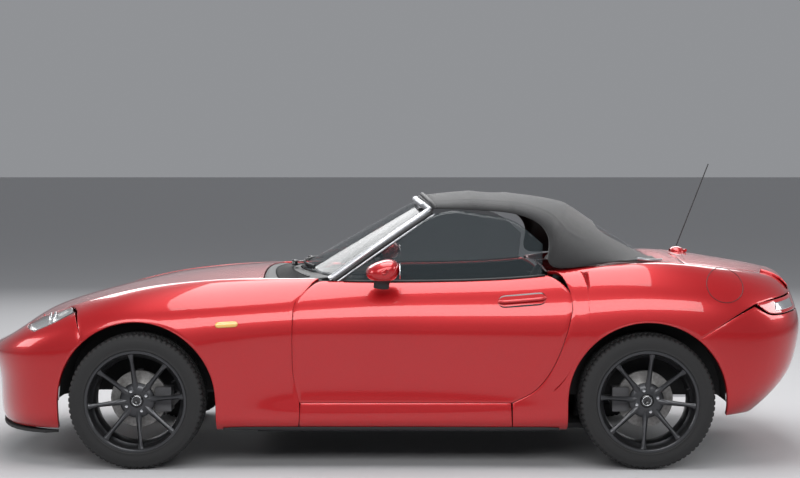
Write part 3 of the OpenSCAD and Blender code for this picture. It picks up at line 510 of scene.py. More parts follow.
def makeNet():
    # control points: each spot less a sixth of its second difference both ways, with mirrored
    # stations past the nose and the tail, and straight rows past the bottom and the top
    y = np.array(skinNet["halfWidth"], float).T
    x = (np.array(skinNet["stations"], float)[:, None]
         + np.outer(skinNet["noseWeight"], skinNet["noseShift"]) + np.outer(skinNet["tailWeight"],
                                                                            skinNet["tailShift"]))
    z = np.empty_like(x)
    z[:, :6] = np.array(skinNet["height"], float).T
    z[:, 6:] = topHeight(x[:, 6:], y[:, 6:])
    spots = np.stack([x, y, z], -1)
    flip = np.array([1, -1, 1])
    ends = lambda n: np.concatenate([n[1:2] * flip, n, n[-2:-1] * flip])
    wide = ends(spots)
    n = spots * 4 / 3 - (wide[:-2] + wide[2:]) / 6
    inner = n.copy()
    inner[:, 1:7] = n[:, 1:7] * 4 / 3 - (n[:, :6] + n[:, 2:8]) / 6
    wide = ends(inner)
    return np.concatenate([2 * wide[:, :1] - wide[:, 1:2], wide, 2 * wide[:, -1:] - wide[:, -2:-1]], 1)


net = makeNet()


def splineWeights(f):
    # uniform cubic B-spline weights of the four control points round a place
    return np.stack([(1 - f) ** 3, 3 * f ** 3 - 6 * f * f + 4, -3 * f ** 3 + 3 * f * f + 3 * f + 1, f ** 3],
                    -1) / 6


def skin(u, v):
    # point of the body's skin in millimetres: u from the nose (0) to the tail (19), v from the sill up (7)
    u, v = np.broadcast_arrays(np.asarray(u, float), np.asarray(v, float))
    i = np.clip(np.floor(u), 0, 18).astype(int)
    j = np.clip(np.floor(v), 0, 6).astype(int)
    a, b = splineWeights(u - i), splineWeights(v - j)
    four = np.arange(4)
    spots = net[i[..., None, None] + four[:, None], j[..., None, None] + four]
    return np.einsum("...m,...n,...mnk->...k", a, b, spots)


def uAt(x, v):
    # u of a station on row v, by halving
    x, v = np.broadcast_arrays(np.asarray(x, float), np.asarray(v, float))
    low, high = np.zeros(x.shape), np.full(x.shape, 19.0)
    for _ in range(30):
        middle = (low + high) / 2
        short = skin(middle, v)[..., 0] < x
        low, high = np.where(short, middle, low), np.where(short, high, middle)
    return (low + high) / 2


def vAt(u, z):
    # v of a height at u, by halving
    low, high = np.zeros(np.shape(u)), np.full(np.shape(u), 7.0)
    for _ in range(28):
        middle = (low + high) / 2
        short = skin(u, middle)[..., 2] < z
        low, high = np.where(short, middle, low), np.where(short, high, middle)
    return (low + high) / 2


def placed(points):
    # skin parameters of points given in side view
    x, z = np.asarray(points, float).T
    v = np.full(len(x), 4.0)
    for _ in range(8):
        u = uAt(x, v)
        v = vAt(u, z)
    return np.stack([u, v], 1)


def rowLine(x0, x1, v, cells):
    # skin parameters along row v between two stations
    x = np.linspace(x0, x1, cells + 1)
    return np.stack([uAt(x, v), np.full(cells + 1, float(v))], 1)


def onSkin(uv):
    # grid of parameters to metres
    return skin(uv[..., 0], uv[..., 1]) / 1000


lines = {
    "frontAxle": -1162.5, "rearAxle": 1147.5, "archRadius": 362, "archHeight": 308, "gap": 4.5,
    "bonnetRow": 6.3, "bonnetRear": -600, "bonnetCorner": 3.15, "lidFront": 1350, "sill": 178,
    "doorFront": [[-430, 178], [-422, 304], [-450, 430], [-454, 560], [-452, 660], [-444, 750],
                  [-395, 805], [-335, 848]],
    "doorRear": [[535, 304], [640, 362], [722, 473], [775, 610], [805, 720], [795, 800], [700, 872]],
    "lampFront": [2.65, 6.25], "lampLow": [3.35, 4.85], "lampRear": [4.22, 5.4], "lampTop": [3.9, 6.28],
    "tailTip": [1630, 738], "lidLow": [17.9, 4.7], "lidSide": [17, 7],
}
gap = lines["gap"]


def archLine(axle, start, end, cells):
    # wheel arch edge in side view, between two angles over the axle
    a = np.radians(np.linspace(start, end, cells + 1))
    return np.stack([axle + lines["archRadius"] * np.cos(a),
                     lines["archHeight"] + lines["archRadius"] * np.sin(a)], 1)

# ---- painted panels: a patch of skin between its shut lines, its edges folded in ----
rightSide, leftSide = 1, -1


def panelPiece(name, body, nodes, grid, fold=0.014, wall=0.0009, turned=None, side=0, flip=True,
               sides="lrbt"):
    # grid in metres on the right side; side -1 mirrors it
    full = foldGrid(grid, fold, 0.0008, turned, sides)
    if side == leftSide:
        full = mirrored(full)
    piece = gridPiece(name, full, paint, flip=flip != (side == leftSide))
    solidify(piece, wall, -1.0)
    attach(piece, body)
    for node in nodes:
        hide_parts(node)
    return piece


def wingGrid():
    # arch and sill below, bonnet gap above, lamp in front, door behind
    arch = placed(archLine(lines["frontAxle"], 132, 0, 44))
    foot = placed(smoothLine([[-800.5, 308], [-799.5, lines["sill"]]], 6))
    sill = placed(smoothLine([[-799.5, lines["sill"]], [-430 - gap, lines["sill"]]], 16))
    bottom = np.concatenate([arch, foot[1:], sill[1:]])
    topRear = np.array([uAt(-345, 6.3), 6.3])
    top = np.concatenate([rowLine(skin(*(np.array(lines["lampTop"]) + [0.06, 0]))[0], -345, 6.3, 66)])
    top[0] = np.array(lines["lampTop"]) + [0.06, 0]
    top[-1] = topRear
    left = edgeOf(([bottom[0], np.array(lines["lampRear"]) + [0.06, -0.02]], 8),
                  ([np.array(lines["lampRear"]) + [0.06, -0.02], [4.12, 5.9], top[0]], 20))
    door = placed(np.array(lines["doorFront"][:-1]) - [gap, 0])
    right = smoothLine(np.concatenate([door, topRear[None]]), 28)
    return onSkin(patch(bottom, top, left, right))


def doorGrid():
    # shoulder above, foot below, the two shut lines at the sides
    bottom = placed(smoothLine([[-422, 304], [535, 304]], 56))
    top = rowLine(-335, 700, 6.0, 56)
    left = smoothLine(np.concatenate([placed(lines["doorFront"][1:-1]), top[:1]]), 44)
    rear = placed(lines["doorRear"][:-1])
    right = edgeOf((rear[:5], 32), (np.concatenate([rear[4:], top[-1:]]), 12))
    left[0], right[0] = bottom[0], bottom[-1]
    return onSkin(patch(bottom, top, left, right))


def quarterGrid():
    # the lower edge runs round the arch, the upper one up the door's rear edge and along the deck
    outset = [[x + gap, z + gap * (0.5 if z > 700 else -0.6)] for x, z in lines["doorRear"]]
    door = placed(outset[:-1])
    corner = np.array([uAt(706, 7.0), 7.0])
    sillCorner = placed([[541, lines["sill"]]])
    top = edgeOf(([sillCorner[0], door[0]], 6), (door[:5], 22), (np.concatenate([door[4:], corner[None]]), 8))
    deck = rowLine(706, 1760, 7.0, 40)
    deck[-1] = lines["lidSide"]
    top = np.concatenate([top, deck[1:]])
    foot = placed(smoothLine([[785.5, lines["sill"]], [785.5, 308]], 6))
    arch = placed(archLine(lines["rearAxle"], 180, 51, len(top) - 7))
    bottom = np.concatenate([foot, arch[1:]])
    left = placed(smoothLine([[785.5, lines["sill"]], [541, lines["sill"]]], 34))
    right = edgeOf(([bottom[-1], placed([[1630, 744]])[0]], 14),
                   (np.concatenate([placed([[1630, 744], [1735, 766], [1842, 782]]), [[17.5, 5.42]]]), 14),
                   ([[17.5, 5.42], [17.22, 6.3], lines["lidSide"]], 6))
    left[0], left[-1] = bottom[0], top[0]
    return onSkin(patch(bottom, top, left, right))


def sillGrid():
    # strip between the sill line and the foot of the door
    bottom = placed(smoothLine([[-424, lines["sill"]], [535, lines["sill"]]], 40))
    top = placed(smoothLine([[-418, 304 - gap], [529, 304 - gap]], 40))
    left = placed(smoothLine([[-424, lines["sill"]], [-418, 304 - gap]], 10))
    right = placed(smoothLine([[535, lines["sill"]], [529, 304 - gap]], 10))
    left[0], left[-1], right[0], right[-1] = bottom[0], top[0], bottom[-1], top[-1]
    return onSkin(patch(bottom, top, left, right))


mouth = [[0, 3.5], [0.5, 3.5], [1.0, 3.4], [1.42, 3.05], [1.6, 2.5], [1.5, 1.85], [1.15, 1.45], [0.6, 1.3],
         [0, 1.28]]


def bumperGrid():
    # rings from the mouth's edge out to the bonnet gap, the lamp, the arch and the bottom edge
    lampFront, lampLow, lampRear = (np.array(lines[k]) for k in ("lampFront", "lampLow", "lampRear"))
    archTop = placed(archLine(lines["frontAxle"], 180, 132, 18))
    archFoot = placed(smoothLine([[-1524.5, lines["sill"]], [-1524.5, 308]], 5))
    outer = edgeOf(([[0, 6.3], lampFront], 26), ([lampFront, [3.0, 5.45], lampLow], 12),
                   ([lampLow, [3.8, 5.05], lampRear + [0, -0.08]], 12),
                   ([lampRear + [0, -0.08], archTop[-1]], 6))
    outer = np.concatenate([outer, archTop[::-1][1:], archFoot[::-1][1:],
                            smoothLine([archFoot[0], [3, 0]], 10)[1:], smoothLine([[3, 0], [0, 0]], 24)[1:]])
    inner = smoothLine(mouth, len(outer) - 1)
    left = smoothLine([inner[0], outer[0]], 26)
    right = smoothLine([inner[-1], outer[-1]], 26)
    grid = patch(inner, outer, left, right)
    return onSkin(grid)


def tailGrid():
    # arch, lamp and lid above, the bottom edge below
    foot = placed([[1512, 240], [1510, 308]])
    arch = placed(archLine(lines["rearAxle"], 0, 51, 22))
    left = np.concatenate([smoothLine(foot, 6), arch[1:]])
    lidLow = np.array(lines["lidLow"])
    low = lidLow + [0, -0.08]
    tip = placed([[1634, 732]])[0]
    top = edgeOf(([left[-1], tip], 14), ([tip, placed([[1717, 692]])[0], [17.2, 4.55], low], 26),
                 ([low, [18.5, low[1]], [19, low[1]]], 22))
    bottom = edgeOf(([left[0], [16.5, 0]], 14), ([[16.5, 0], [19, 0]], 48))
    right = smoothLine([[19, 0], [19, low[1]]], len(left) - 1)
    return onSkin(patch(bottom, top, left, right))


def bonnetGrid():
    # blend between the nose edge, the cowl edge and the two bonnet gaps
    s = np.linspace(0, 1, 61)[:, None]
    t = np.linspace(1, -1, 61)[None, :]
    a, row, corner = np.abs(t), lines["bonnetRow"], lines["bonnetCorner"]
    rear = uAt(lines["bonnetRear"], row)
    edge = lambda q: skin(corner + (rear - corner) * q, row)
    front = skin(corner * a, row + 0 * a)
    e, e0, e1 = edge(s), edge(np.float64(0)), edge(np.float64(1))
    f0, c1 = skin(0, row)[0], lines["bonnetRear"] - 25
    mix = lambda p, q, w: p + (q - p) * w
    x = (mix(front[..., 0], mix(c1, e1[0], t * t), s) + mix(mix(f0, c1, s), e[..., 0], a)
         - mix(mix(f0, e0[0], a), mix(c1, e1[0], a), s))
    y = mix(front[..., 1], e1[1] * a, s) + a * e[..., 1] - a * mix(e0[1], e1[1], s)
    lift = e[..., 2] - topHeight(e[..., 0], e[..., 1])
    z = topHeight(x, y) + lift * a ** 6 * s
    return np.stack([x + (1 - s) * gap, (y - a * gap) * np.sign(t), z], -1) / 1000


def lidGrid():
    # the lid's top from its front edge to the tail, then down over the tail between the lamps
    t = np.linspace(1, -1, 61)[None, :]
    a = np.abs(t)
    s = np.linspace(0, 1, 25)[:, None]
    back = skin(19 - 2 * a, 7.0)
    side = skin(uAt(lines["lidFront"], 7.0), 7.0)
    x = lines["lidFront"] + (back[..., 0] - lines["lidFront"]) * s
    edge = skin(uAt(x[:, :1], 7.0), 7.0)[..., 1]
    bulge = edge - side[1] - (back[0, 0, 1] - side[1]) * s
    y = side[1] * a + (back[..., 1] - side[1] * a) * s + a ** 4 * bulge - a * gap * (1 - s / 2)
    top = np.stack([x, y * np.sign(t), topHeight(x, y)], -1)
    s = np.linspace(0, 1, 29)[1:, None]
    p = skin(19 - a * (2 - 0.55 * s), 7 + (lines["lidLow"][1] - 7) * s)
    fall = np.stack([p[..., 0], (p[..., 1] - 3 * a) * np.sign(t), p[..., 2]], -1)
    return np.concatenate([top, fall]) / 1000


for tag, side in (("left", leftSide), ("right", rightSide)):
    panelPiece("frontWing_" + tag, "body", ["front_wing_" + tag], wingGrid(), side=side)
    panelPiece("rearQuarter_" + tag, "body", ["rear_quarter_" + tag], quarterGrid(), side=side)
    panelPiece("doorSkin_" + tag, "door_" + tag, [], doorGrid(), side=side, fold=0.02)
    panelPiece("sillSkin_" + tag, "body", [], sillGrid(), side=side)
half = bumperGrid()
panelPiece("frontBumperSkin", "body", ["front_bumper"], np.concatenate([mirrored(half)[::-1], half[1:]]),
           flip=False, sides="bt")
half = tailGrid()
panelPiece("rearBumperSkin", "body", ["rear_bumper"], np.concatenate([half, mirrored(half)[::-1][1:]]))
panelPiece("bonnetSkin", "bonnet", ["bonnet"], bonnetGrid())
panelPiece("lidSkin", "boot_lid", ["boot_lid"], lidGrid())
print("panels made")

# ---- wheels, tyres and brakes ----
wheelSpec = {
    "height": 0.308, "rimRadius": 0.229, "spokes": 8, "lugCircle": 0.050, "capRadius": 0.027,
    "front": {"x": -1.1625, "y": 0.7475, "turn": 6.0}, "rear": {"x": 1.1475, "y": 0.7525, "turn": -5.0},
}


def wheelPoint(r, w, a, spec, side):
    # radius, distance outwards from the wheel's centre plane and angle to a place on the car
    return np.stack(np.broadcast_arrays(spec["x"] + r * np.cos(a), side * (spec["y"] + w),
                                        wheelSpec["height"] + r * np.sin(a)), -1)


def turnedPiece(name, profile, steps, spec, side, material, shape=None):
    # closed profile of [radius, offset] in millimetres turned round the axle;
    # shape changes the radius with the angle
    r, w = np.asarray(profile, float).T / 1000
    a = np.linspace(0, 2 * np.pi, steps, endpoint=False)[:, None]
    radius = r + 0 * a if shape is None else shape(r, w, a)
    return gridPiece(name, wheelPoint(radius, w, a, spec, side), material, loopI=True, loopJ=True,
                     flip=side == rightSide)


def spokeGrid(spec, side, angle):
    # rings across a spoke from hub to rim: a ridge in front, sides falling back, a narrower rear
    s = np.linspace(0, 1, 17)
    r = 0.040 + 0.180 * s
    half = curve([[0, 0.023], [0.16, 0.0155], [0.4, 0.0115], [0.8, 0.0095], [0.93, 0.0120], [1, 0.019]], s)
    front = curve([[0, 0.058], [0.2, 0.063], [0.5, 0.076], [0.85, 0.090], [1, 0.0945]], s)
    depth = curve([[0, 0.034], [0.3, 0.030], [0.8, 0.026], [1, 0.022]], s)
    across = np.array([-0.80, -1.0, -0.92, -0.34, 0.0, 0.34, 0.92, 1.0, 0.80, 0.0])
    back = np.array([1.0, 0.55, 0.24, 0.03, 0.0, 0.03, 0.24, 0.55, 1.0, 1.06])
    t = half[:, None] * across
    w = front[:, None] - depth[:, None] * back
    a = angle + t / r[:, None]
    return wheelPoint(r[:, None], w, a, spec, side)


def wheelPieces(which, tag, side):
    spec, body = wheelSpec[which], f"wheel_{which}_{tag}"
    mark = f"{which}_{tag}"
    turn = math.radians(spec["turn"]) if side == leftSide else math.radians(180 - spec["turn"])
    if side == rightSide:
        turn = math.radians(180 - spec["turn"])
    barrel = [[229, 95.5], [231, 98], [229.5, 100.5], [225, 101.5], [219.5, 100], [216, 96.5], [213.5, 90],
              [211.5, 80], [209.5, 68], [204, 58], [197, 50], [194, 20], [194, -50], [202, -78], [207, -90],
              [217, -96], [227, -98], [230, -96], [228.5, -93], [219, -88], [214.5, -80], [205, -60],
              [201, -40], [201, 36], [208, 56], [216, 76], [219.5, 88]]
    rim = turnedPiece("rim", barrel, 120, spec, side, rimMetal)
    hub = [[1, 30], [34, 30], [56, 30], [74, 36], [80, 42], [78, 47], [70, 53], [58, 57], [40, 59],
           [31.5, 60],
           [30, 58.5], [29, 55], [1, 55]]
    hubPiece = turnedPiece("hub", hub, 64, spec, side, rimMetal)
    parts = [rim, hubPiece]
    for k in range(wheelSpec["spokes"]):
        angle = turn + 2 * np.pi * k / wheelSpec["spokes"]
        parts.append(gridPiece("spoke", spokeGrid(spec, side, angle), rimMetal, loopJ=True, caps=True,
                               flip=side == leftSide))
    alloy = crease(joined("alloy_" + mark, parts), 28)
    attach(alloy, body)
    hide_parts(body)
    cap = turnedPiece("centreCap_" + mark, [[0.3, 54], [27.5, 54], [28.6, 57], [28, 59.5], [25.5, 61.2],
                                            [16, 62.4], [0.3, 62.8]], 48, spec, side, gloss)
    ring = turnedPiece("capRing_" + mark, [[19.5, 61.2], [21.5, 61.2], [22, 62.6], [20.5, 63.2], [19, 62.8]],
                       48, spec, side, bright)
    nuts = []
    for k in range(4):
        middle = turn + math.radians(22.5 + 90 * k)
        a = np.arange(6)[None, :] * np.pi / 3
        rings = np.array([[11.5, 40], [11.5, 53.4], [8.6, 54.0], [8.6, 68.5], [7.2, 70.5],
                          [2.0, 71.2]]) / 1000
        x = wheelSpec["lugCircle"] * math.cos(middle) + rings[:, :1] * np.cos(a)
        z = wheelSpec["lugCircle"] * math.sin(middle) + rings[:, :1] * np.sin(a)
        grid = np.stack([spec["x"] + x, side * (spec["y"] + rings[:, 1:] + 0 * a), wheelSpec["height"] + z],
                        -1)
        nuts.append(gridPiece("nut", grid, bright, loopJ=True, caps=True, flip=side == leftSide,
                              smooth=False))
    lugs = joined("lugNuts_" + mark, nuts)
    disc = [[129, -31], [129, -24.5], [120, -24], [120, -18.5], [129, -18], [129, -11.5], [128, -10.5],
            [80, -10.5], [77, -9], [71, -8], [70, 20], [68, 24], [30, 25.5], [30, 20], [62, 18], [64, -28],
            [72, -32], [128, -32]]
    rotor = crease(turnedPiece("brakeDisc_" + mark, disc, 96, spec, side, iron), 30)
    valve = tubePiece("valve_" + mark, wheelPoint(np.linspace(0.198, 0.186, 4), np.linspace(0.07, 0.083, 4),
                                                   turn + 0.39 + 0 * np.arange(4), spec, side), 0.0035,
                                                   plastic, 8)
    for piece in (cap, ring, lugs, rotor, valve):
        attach(piece, body)
    tyrePieces(spec, side, mark, body)


def tyrePieces(spec, side, mark, body):
    # sidewall and tread in one turned profile, its shoulder blocks cut by short grooves
    half = [[219, 84], [222, 92], [228, 96.5], [231.5, 99.5], [234, 101.6], [237, 102.2], [240, 101.2],
            [246, 101.4],
            [258, 102.4], [270, 102.0], [281, 100.2], [289, 97.6], [292, 97.4], [296.5, 94.5], [301, 90],
            [304.2, 84.5], [306, 78], [307, 68], [307.4, 59], [301.5, 57.5], [301.5, 50.5], [307.6, 49],
            [307.9, 38], [308, 27], [301.5, 25.5], [301.5, 18.5], [308, 17], [308, 6]]
    inner = [[215, 76], [206, 58]]
    profile = half + [[r, -w] for r, w in half[::-1]] + [[r, -w] for r, w in inner] + inner[::-1]

    def blocks(r, w, a):
        shoulder = (np.abs(w) > 0.058) & (np.abs(w) < 0.096) & (r > 0.290)
        ribs = (np.abs(w) < 0.0495) & (r > 0.305)
        slot = np.sin(a * 72) > 0.72
        sipe = np.sin(a * 108 + 40 * w) > 0.80
        return r - 0.0045 * shoulder * slot - 0.003 * ribs * sipe

    tyre = crease(turnedPiece("tyre_" + mark + "_rubber", profile, 432, spec, side, tyreRubber, blocks), 40)
    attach(tyre, body)
    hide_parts(f"tyre_{mark}")


def caliperPiece(name, spec, side, ahead, material):
    # block astride the disc with a waisted bridge and two bosses
    x0 = spec["x"] + ahead * 0.108
    parts = []
    a = np.linspace(0, 2 * np.pi, 33)[:-1]
    outline = np.stack([np.sign(np.cos(a)) * np.abs(np.cos(a)) ** 0.5 * 0.033,
                        np.sign(np.sin(a)) * np.abs(np.sin(a)) ** 0.42 * 0.056], -1)
    for low, high in ((-0.080, -0.0375), (-0.005, 0.011)):
        rows = []
        for w, k in ((low, 0.88), (low + 0.003, 1.0), (high - 0.004, 1.0), (high, 0.86)):
            rows.append(np.stack([x0 + outline[:, 0] * k, side * (spec["y"] + w) + 0 * a,
                                  wheelSpec["height"] + outline[:, 1] * k], -1))
        parts.append(gridPiece("half", np.stack(rows), material, loopJ=True, caps=True,
                               flip=side == leftSide))
    edge = sorted([ahead * 0.027, ahead * 0.041])
    for z in (-0.038, 0.006):
        parts.append(boxPiece("bridge", (x0 + edge[0],
                                         min(side * (spec["y"] - 0.075), side * (spec["y"] + 0.008)),
                                         wheelSpec["height"] + z),
                              (x0 + edge[1], max(side * (spec["y"] - 0.075), side * (spec["y"] + 0.008)),
                               wheelSpec["height"] + z + 0.032), material))
    return crease(joined(name, parts), 30)


for which in ("front", "rear"):
    for tag, side in (("left", leftSide), ("right", rightSide)):
        wheelPieces(which, tag, side)
for tag, side in (("left", leftSide), ("right", rightSide)):
    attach(caliperPiece("frontCaliper_" + tag, wheelSpec["front"], side, 1, cast), "knuckle_front_" + tag)
    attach(caliperPiece("rearCaliper_" + tag, wheelSpec["rear"], side, -1, cast), "body")
print("wheels made")

# ---- windscreen, side glass and soft top ----
screenSpec = {"pillarX": [[0, -285], [0.5, -60], [1, 168]], "pillarY": [[0, 712], [0.5, 655], [1, 552]],
              "pillarZ": [[0, 858], [0.5, 1015], [1, 1166]]}
roofSpec = {
    "middle": [[0, 124, 1225], [0.12, 341, 1246], [0.24, 487, 1243], [0.42, 708, 1226],
               [0.54, 850, 1188], [0.64, 969, 1113], [0.84, 1222, 957], [1, 1318, 915]],
    "edge": [[0, 185, 556, 1172], [0.16, 400, 572, 1164], [0.3, 560, 590, 1148], [0.4, 664, 628, 1108],
             [0.48, 710, 676, 1040], [0.56, 712, 722, 925], [0.66, 800, 724, 906], [0.84, 1000, 702, 930],
             [1, 1120, 660, 940]],
    "window": (0.65, 0.90, 0.375), "cloth": 0.004,
}


def pillar(s):
    # centre of the windscreen pillar from the cowl (0) to the header (1)
    return np.stack([curve(screenSpec[k], s) for k in ("pillarX", "pillarY", "pillarZ")], -1) / 1000


def header(t):
    # the windscreen's top rail across the car
    c = np.sqrt(np.maximum(1 - t * t, 0))
    return np.stack([168 - 60 * c, 552 * t, 1166 + 40 * c ** 0.9], -1) / 1000


def screenPoint(s, t):
    # glass between the pillars, bowed forward and up
    s, t = np.broadcast_arrays(s, t)
    e = pillar(0.03 + 0.91 * s)
    bow = 1 - t * t
    return np.stack([e[..., 0] - 0.190 * (1 - s * 0.75) * bow, (e[..., 1] - 0.015) * t,
                     e[..., 2] + (0.010 + 0.035 * s) * bow], -1)


def column(table, k):
    # [share, value] pairs of one column of a table
    return [[row[0], row[k]] for row in table]


def roofPoint(s, a):
    # the soft top's section is a quarter ellipse from the edge (a = 1) to the middle (a = 0)
    s, a = np.broadcast_arrays(np.asarray(s, float), np.asarray(a, float))
    ex, ey, ez = (curve(column(roofSpec["edge"], k), s) for k in (1, 2, 3))
    mx, mz = (curve(column(roofSpec["middle"], k), s) for k in (1, 2))
    q = np.abs(a) * np.pi / 2
    c = np.maximum(np.cos(q), 0)
    return np.stack([ex + (mx - ex) * c, ey * np.sin(q) * np.sign(a), ez + (mz - ez) * c ** 0.9], -1) / 1000


def frameBar(name, path, width, height, material, body, up=(0, 0, 1), sides=16):
    # oval bar along a path, riding on a body
    bar = tubePiece(name, path, width, material, sides, up, height / width)
    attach(bar, body)
    return bar


s = np.linspace(-0.02, 1, 30)
right = pillar(s)
top = header(np.linspace(0.94, -0.94, 37))
hoop = np.concatenate([right, top, mirrored(right[::-1])])
frameBarPiece = frameBar("windscreenHoop", hoop, 0.017, 0.0145, silver, "body")
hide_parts("windscreen_frame")
for tag, side in (("left", leftSide), ("right", rightSide)):
    line = pillar(np.linspace(0.0, 1.0, 24)) + [0.010, 0.012, -0.012]
    line = onSide(line, side)
    frameBar("pillarSeal_" + tag, line, 0.007, 0.009, plastic, "body", sides=10)
    line = pillar(np.linspace(0.0, 1.0, 24)) + [0.024, 0.010, -0.020]
    line = onSide(line, side)
    frameBar("pillarTrim_" + tag, line, 0.0045, 0.006, silver, "body", sides=10)

grid = screenPoint(np.linspace(0, 1, 40)[:, None], np.linspace(1, -1, 60)[None, :])
screen = solidify(gridPiece("windscreenGlass", grid, glass, flip=False), 0.004)
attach(screen, "body")
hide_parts("windscreen_glass")

# the cloth: quarter-ellipse sections with raised bow folds, seams and a little sag between the bows
roofCount = 121
sRow = np.linspace(0.0, 1, 141)[:, None]
aRow = np.linspace(1, -1, roofCount)[None, :]
folds = (0.0022 * np.exp(-((sRow - 0.30) / 0.012) ** 2) + 0.0030 * np.exp(-((sRow - 0.535) / 0.014) ** 2)
         + 0.0022 * np.exp(-((sRow - 0.145) / 0.012) ** 2))
seam = 0.0016 * np.exp(-((np.abs(aRow) - 0.62) / 0.012) ** 2) * (sRow < 0.64)
sag = -0.0035 * np.sin(np.pi * np.clip((sRow - 0.16) / 0.13, 0,
                                       1)) - 0.004 * np.sin(np.pi * np.clip((sRow - 0.32) / 0.2, 0, 1))
roof = roofPoint(sRow, aRow)
normal = unit(np.cross(np.gradient(roof, axis=1), np.gradient(roof, axis=0)))
normal *= np.sign(normal[..., 2:3].mean())
roof = roof + normal * (folds + seam + sag * np.cos(aRow * np.pi / 2))[..., None]
low, high, wide = roofSpec["window"]
n, m = roof.shape[:2]
faces = gridFaces(n, m, flip=False)
sMid = (sRow[:, 0][faces[:, 0] // m] + sRow[:, 0][faces[:, 2] // m]) / 2
aMid = (aRow[0][faces[:, 0] % m] + aRow[0][faces[:, 2] % m]) / 2
corner = np.maximum(np.abs((sMid - (low + high) / 2) / ((high - low) / 2)) ** 5, 0) + np.abs(aMid / wide) ** 5
kept = faces[corner > 1.0]
cover = meshPiece("softTop", roof.reshape(-1, 3), kept.tolist(), cloth)
loose = cover.modifiers.new("wall", "SOLIDIFY")
loose.thickness, loose.offset = roofSpec["cloth"], -1
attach(cover, "body")
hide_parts("soft_top")
print("soft top made")

pane = roofPoint(np.linspace(low - 0.012, high + 0.012, 30)[:, None],
                 np.linspace(wide + 0.02, -wide - 0.02, 40)[None, :])
pane = pane - np.array([0, 0, 0.006])
rear = solidify(gridPiece("rearGlass", pane, glass, flip=False), 0.003)
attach(rear, "body")
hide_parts("rear_window")


def sideGlassGrid():
    # from the door's shoulder up to the roof rail, leaning in with height
    s = np.linspace(0, 1, 50)[:, None]
    t = np.linspace(0, 1, 24)[None, :]
    x = -222 + 900 * s
    low = np.stack([x, skin(uAt(x, 6.0), 6.0)[..., 2] - 12], -1)
    front = curve([[0, -196], [0.35, 190], [0.7, 450], [1, 688]], s)
    high = np.stack([front, curve([[0, 884], [0.35, 1141], [0.7, 1140], [0.85, 1108], [1, 1010]], s)], -1)
    q = low + (high - low) * t[..., None]
    return np.stack([q[..., 0], 728 - 0.52 * (q[..., 1] - 850), q[..., 1]], -1) / 1000


for tag, side in (("left", leftSide), ("right", rightSide)):
    grid = sideGlassGrid()
    grid = onSide(grid, side)
    window = solidify(gridPiece("sideGlass_" + tag, grid, glass, flip=side == rightSide), 0.004)
    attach(window, "door_" + tag)
    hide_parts("door_window_" + tag)
print("glass made")
# ---- inside: seats, dashboard, door trims, hoops and carpet ----
cabinSpec = {
    "seatY": 0.345, "cushion": [[0.165, 0.340], [0.24, 0.372], [0.40, 0.352], [0.55, 0.334], [0.635, 0.345]],
    "back": [[0.640, 0.340], [0.70, 0.50], [0.765, 0.70], [0.815, 0.86], [0.838, 0.925]],
    "dash": [[-0.585, 0.655], [-0.585, 0.768], [-0.515, 0.772], [-0.400, 0.828], [-0.270, 0.838],
             [-0.160, 0.834],
             [-0.100, 0.800], [-0.104, 0.745], [-0.130, 0.690], [-0.225, 0.618], [-0.420, 0.570],
             [-0.585, 0.655]],
    "wheelCentre": (-0.055, -0.345, 0.770), "rake": 22,
}


def padPiece(name, path, y, halfWidths, halfThick, count=26, sides=36, power=0.55):
    # stuffed pad along a path in side view: superellipse sections that close at both ends
    flat = smoothLine(np.asarray(path, float), count)
    s = np.linspace(0, 1, count + 1)
    end = np.maximum(1 - np.abs(2 * s - 1) ** 9, 0) ** 0.5 + 0.03
    wide, thick = curve(halfWidths, s) * end, curve(halfThick, s) * end
    way = unit(np.gradient(flat, axis=0))
    high = np.stack([-way[:, 1], way[:, 0]], 1)
    a = np.linspace(0, 2 * np.pi, sides, endpoint=False)
    c, d = (np.sign(f(a)) * np.abs(f(a)) ** power for f in (np.cos, np.sin))
    ring = np.stack([flat[:, 0, None] + high[:, 0, None] * thick[:, None] * d,
                     y + wide[:, None] * c,
                     flat[:, 1, None] + high[:, 1, None] * thick[:, None] * d], -1)
    pad = gridPiece(name, ring, leather, loopJ=True, caps=True, flip=True)
    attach(pad, "body")
    return pad


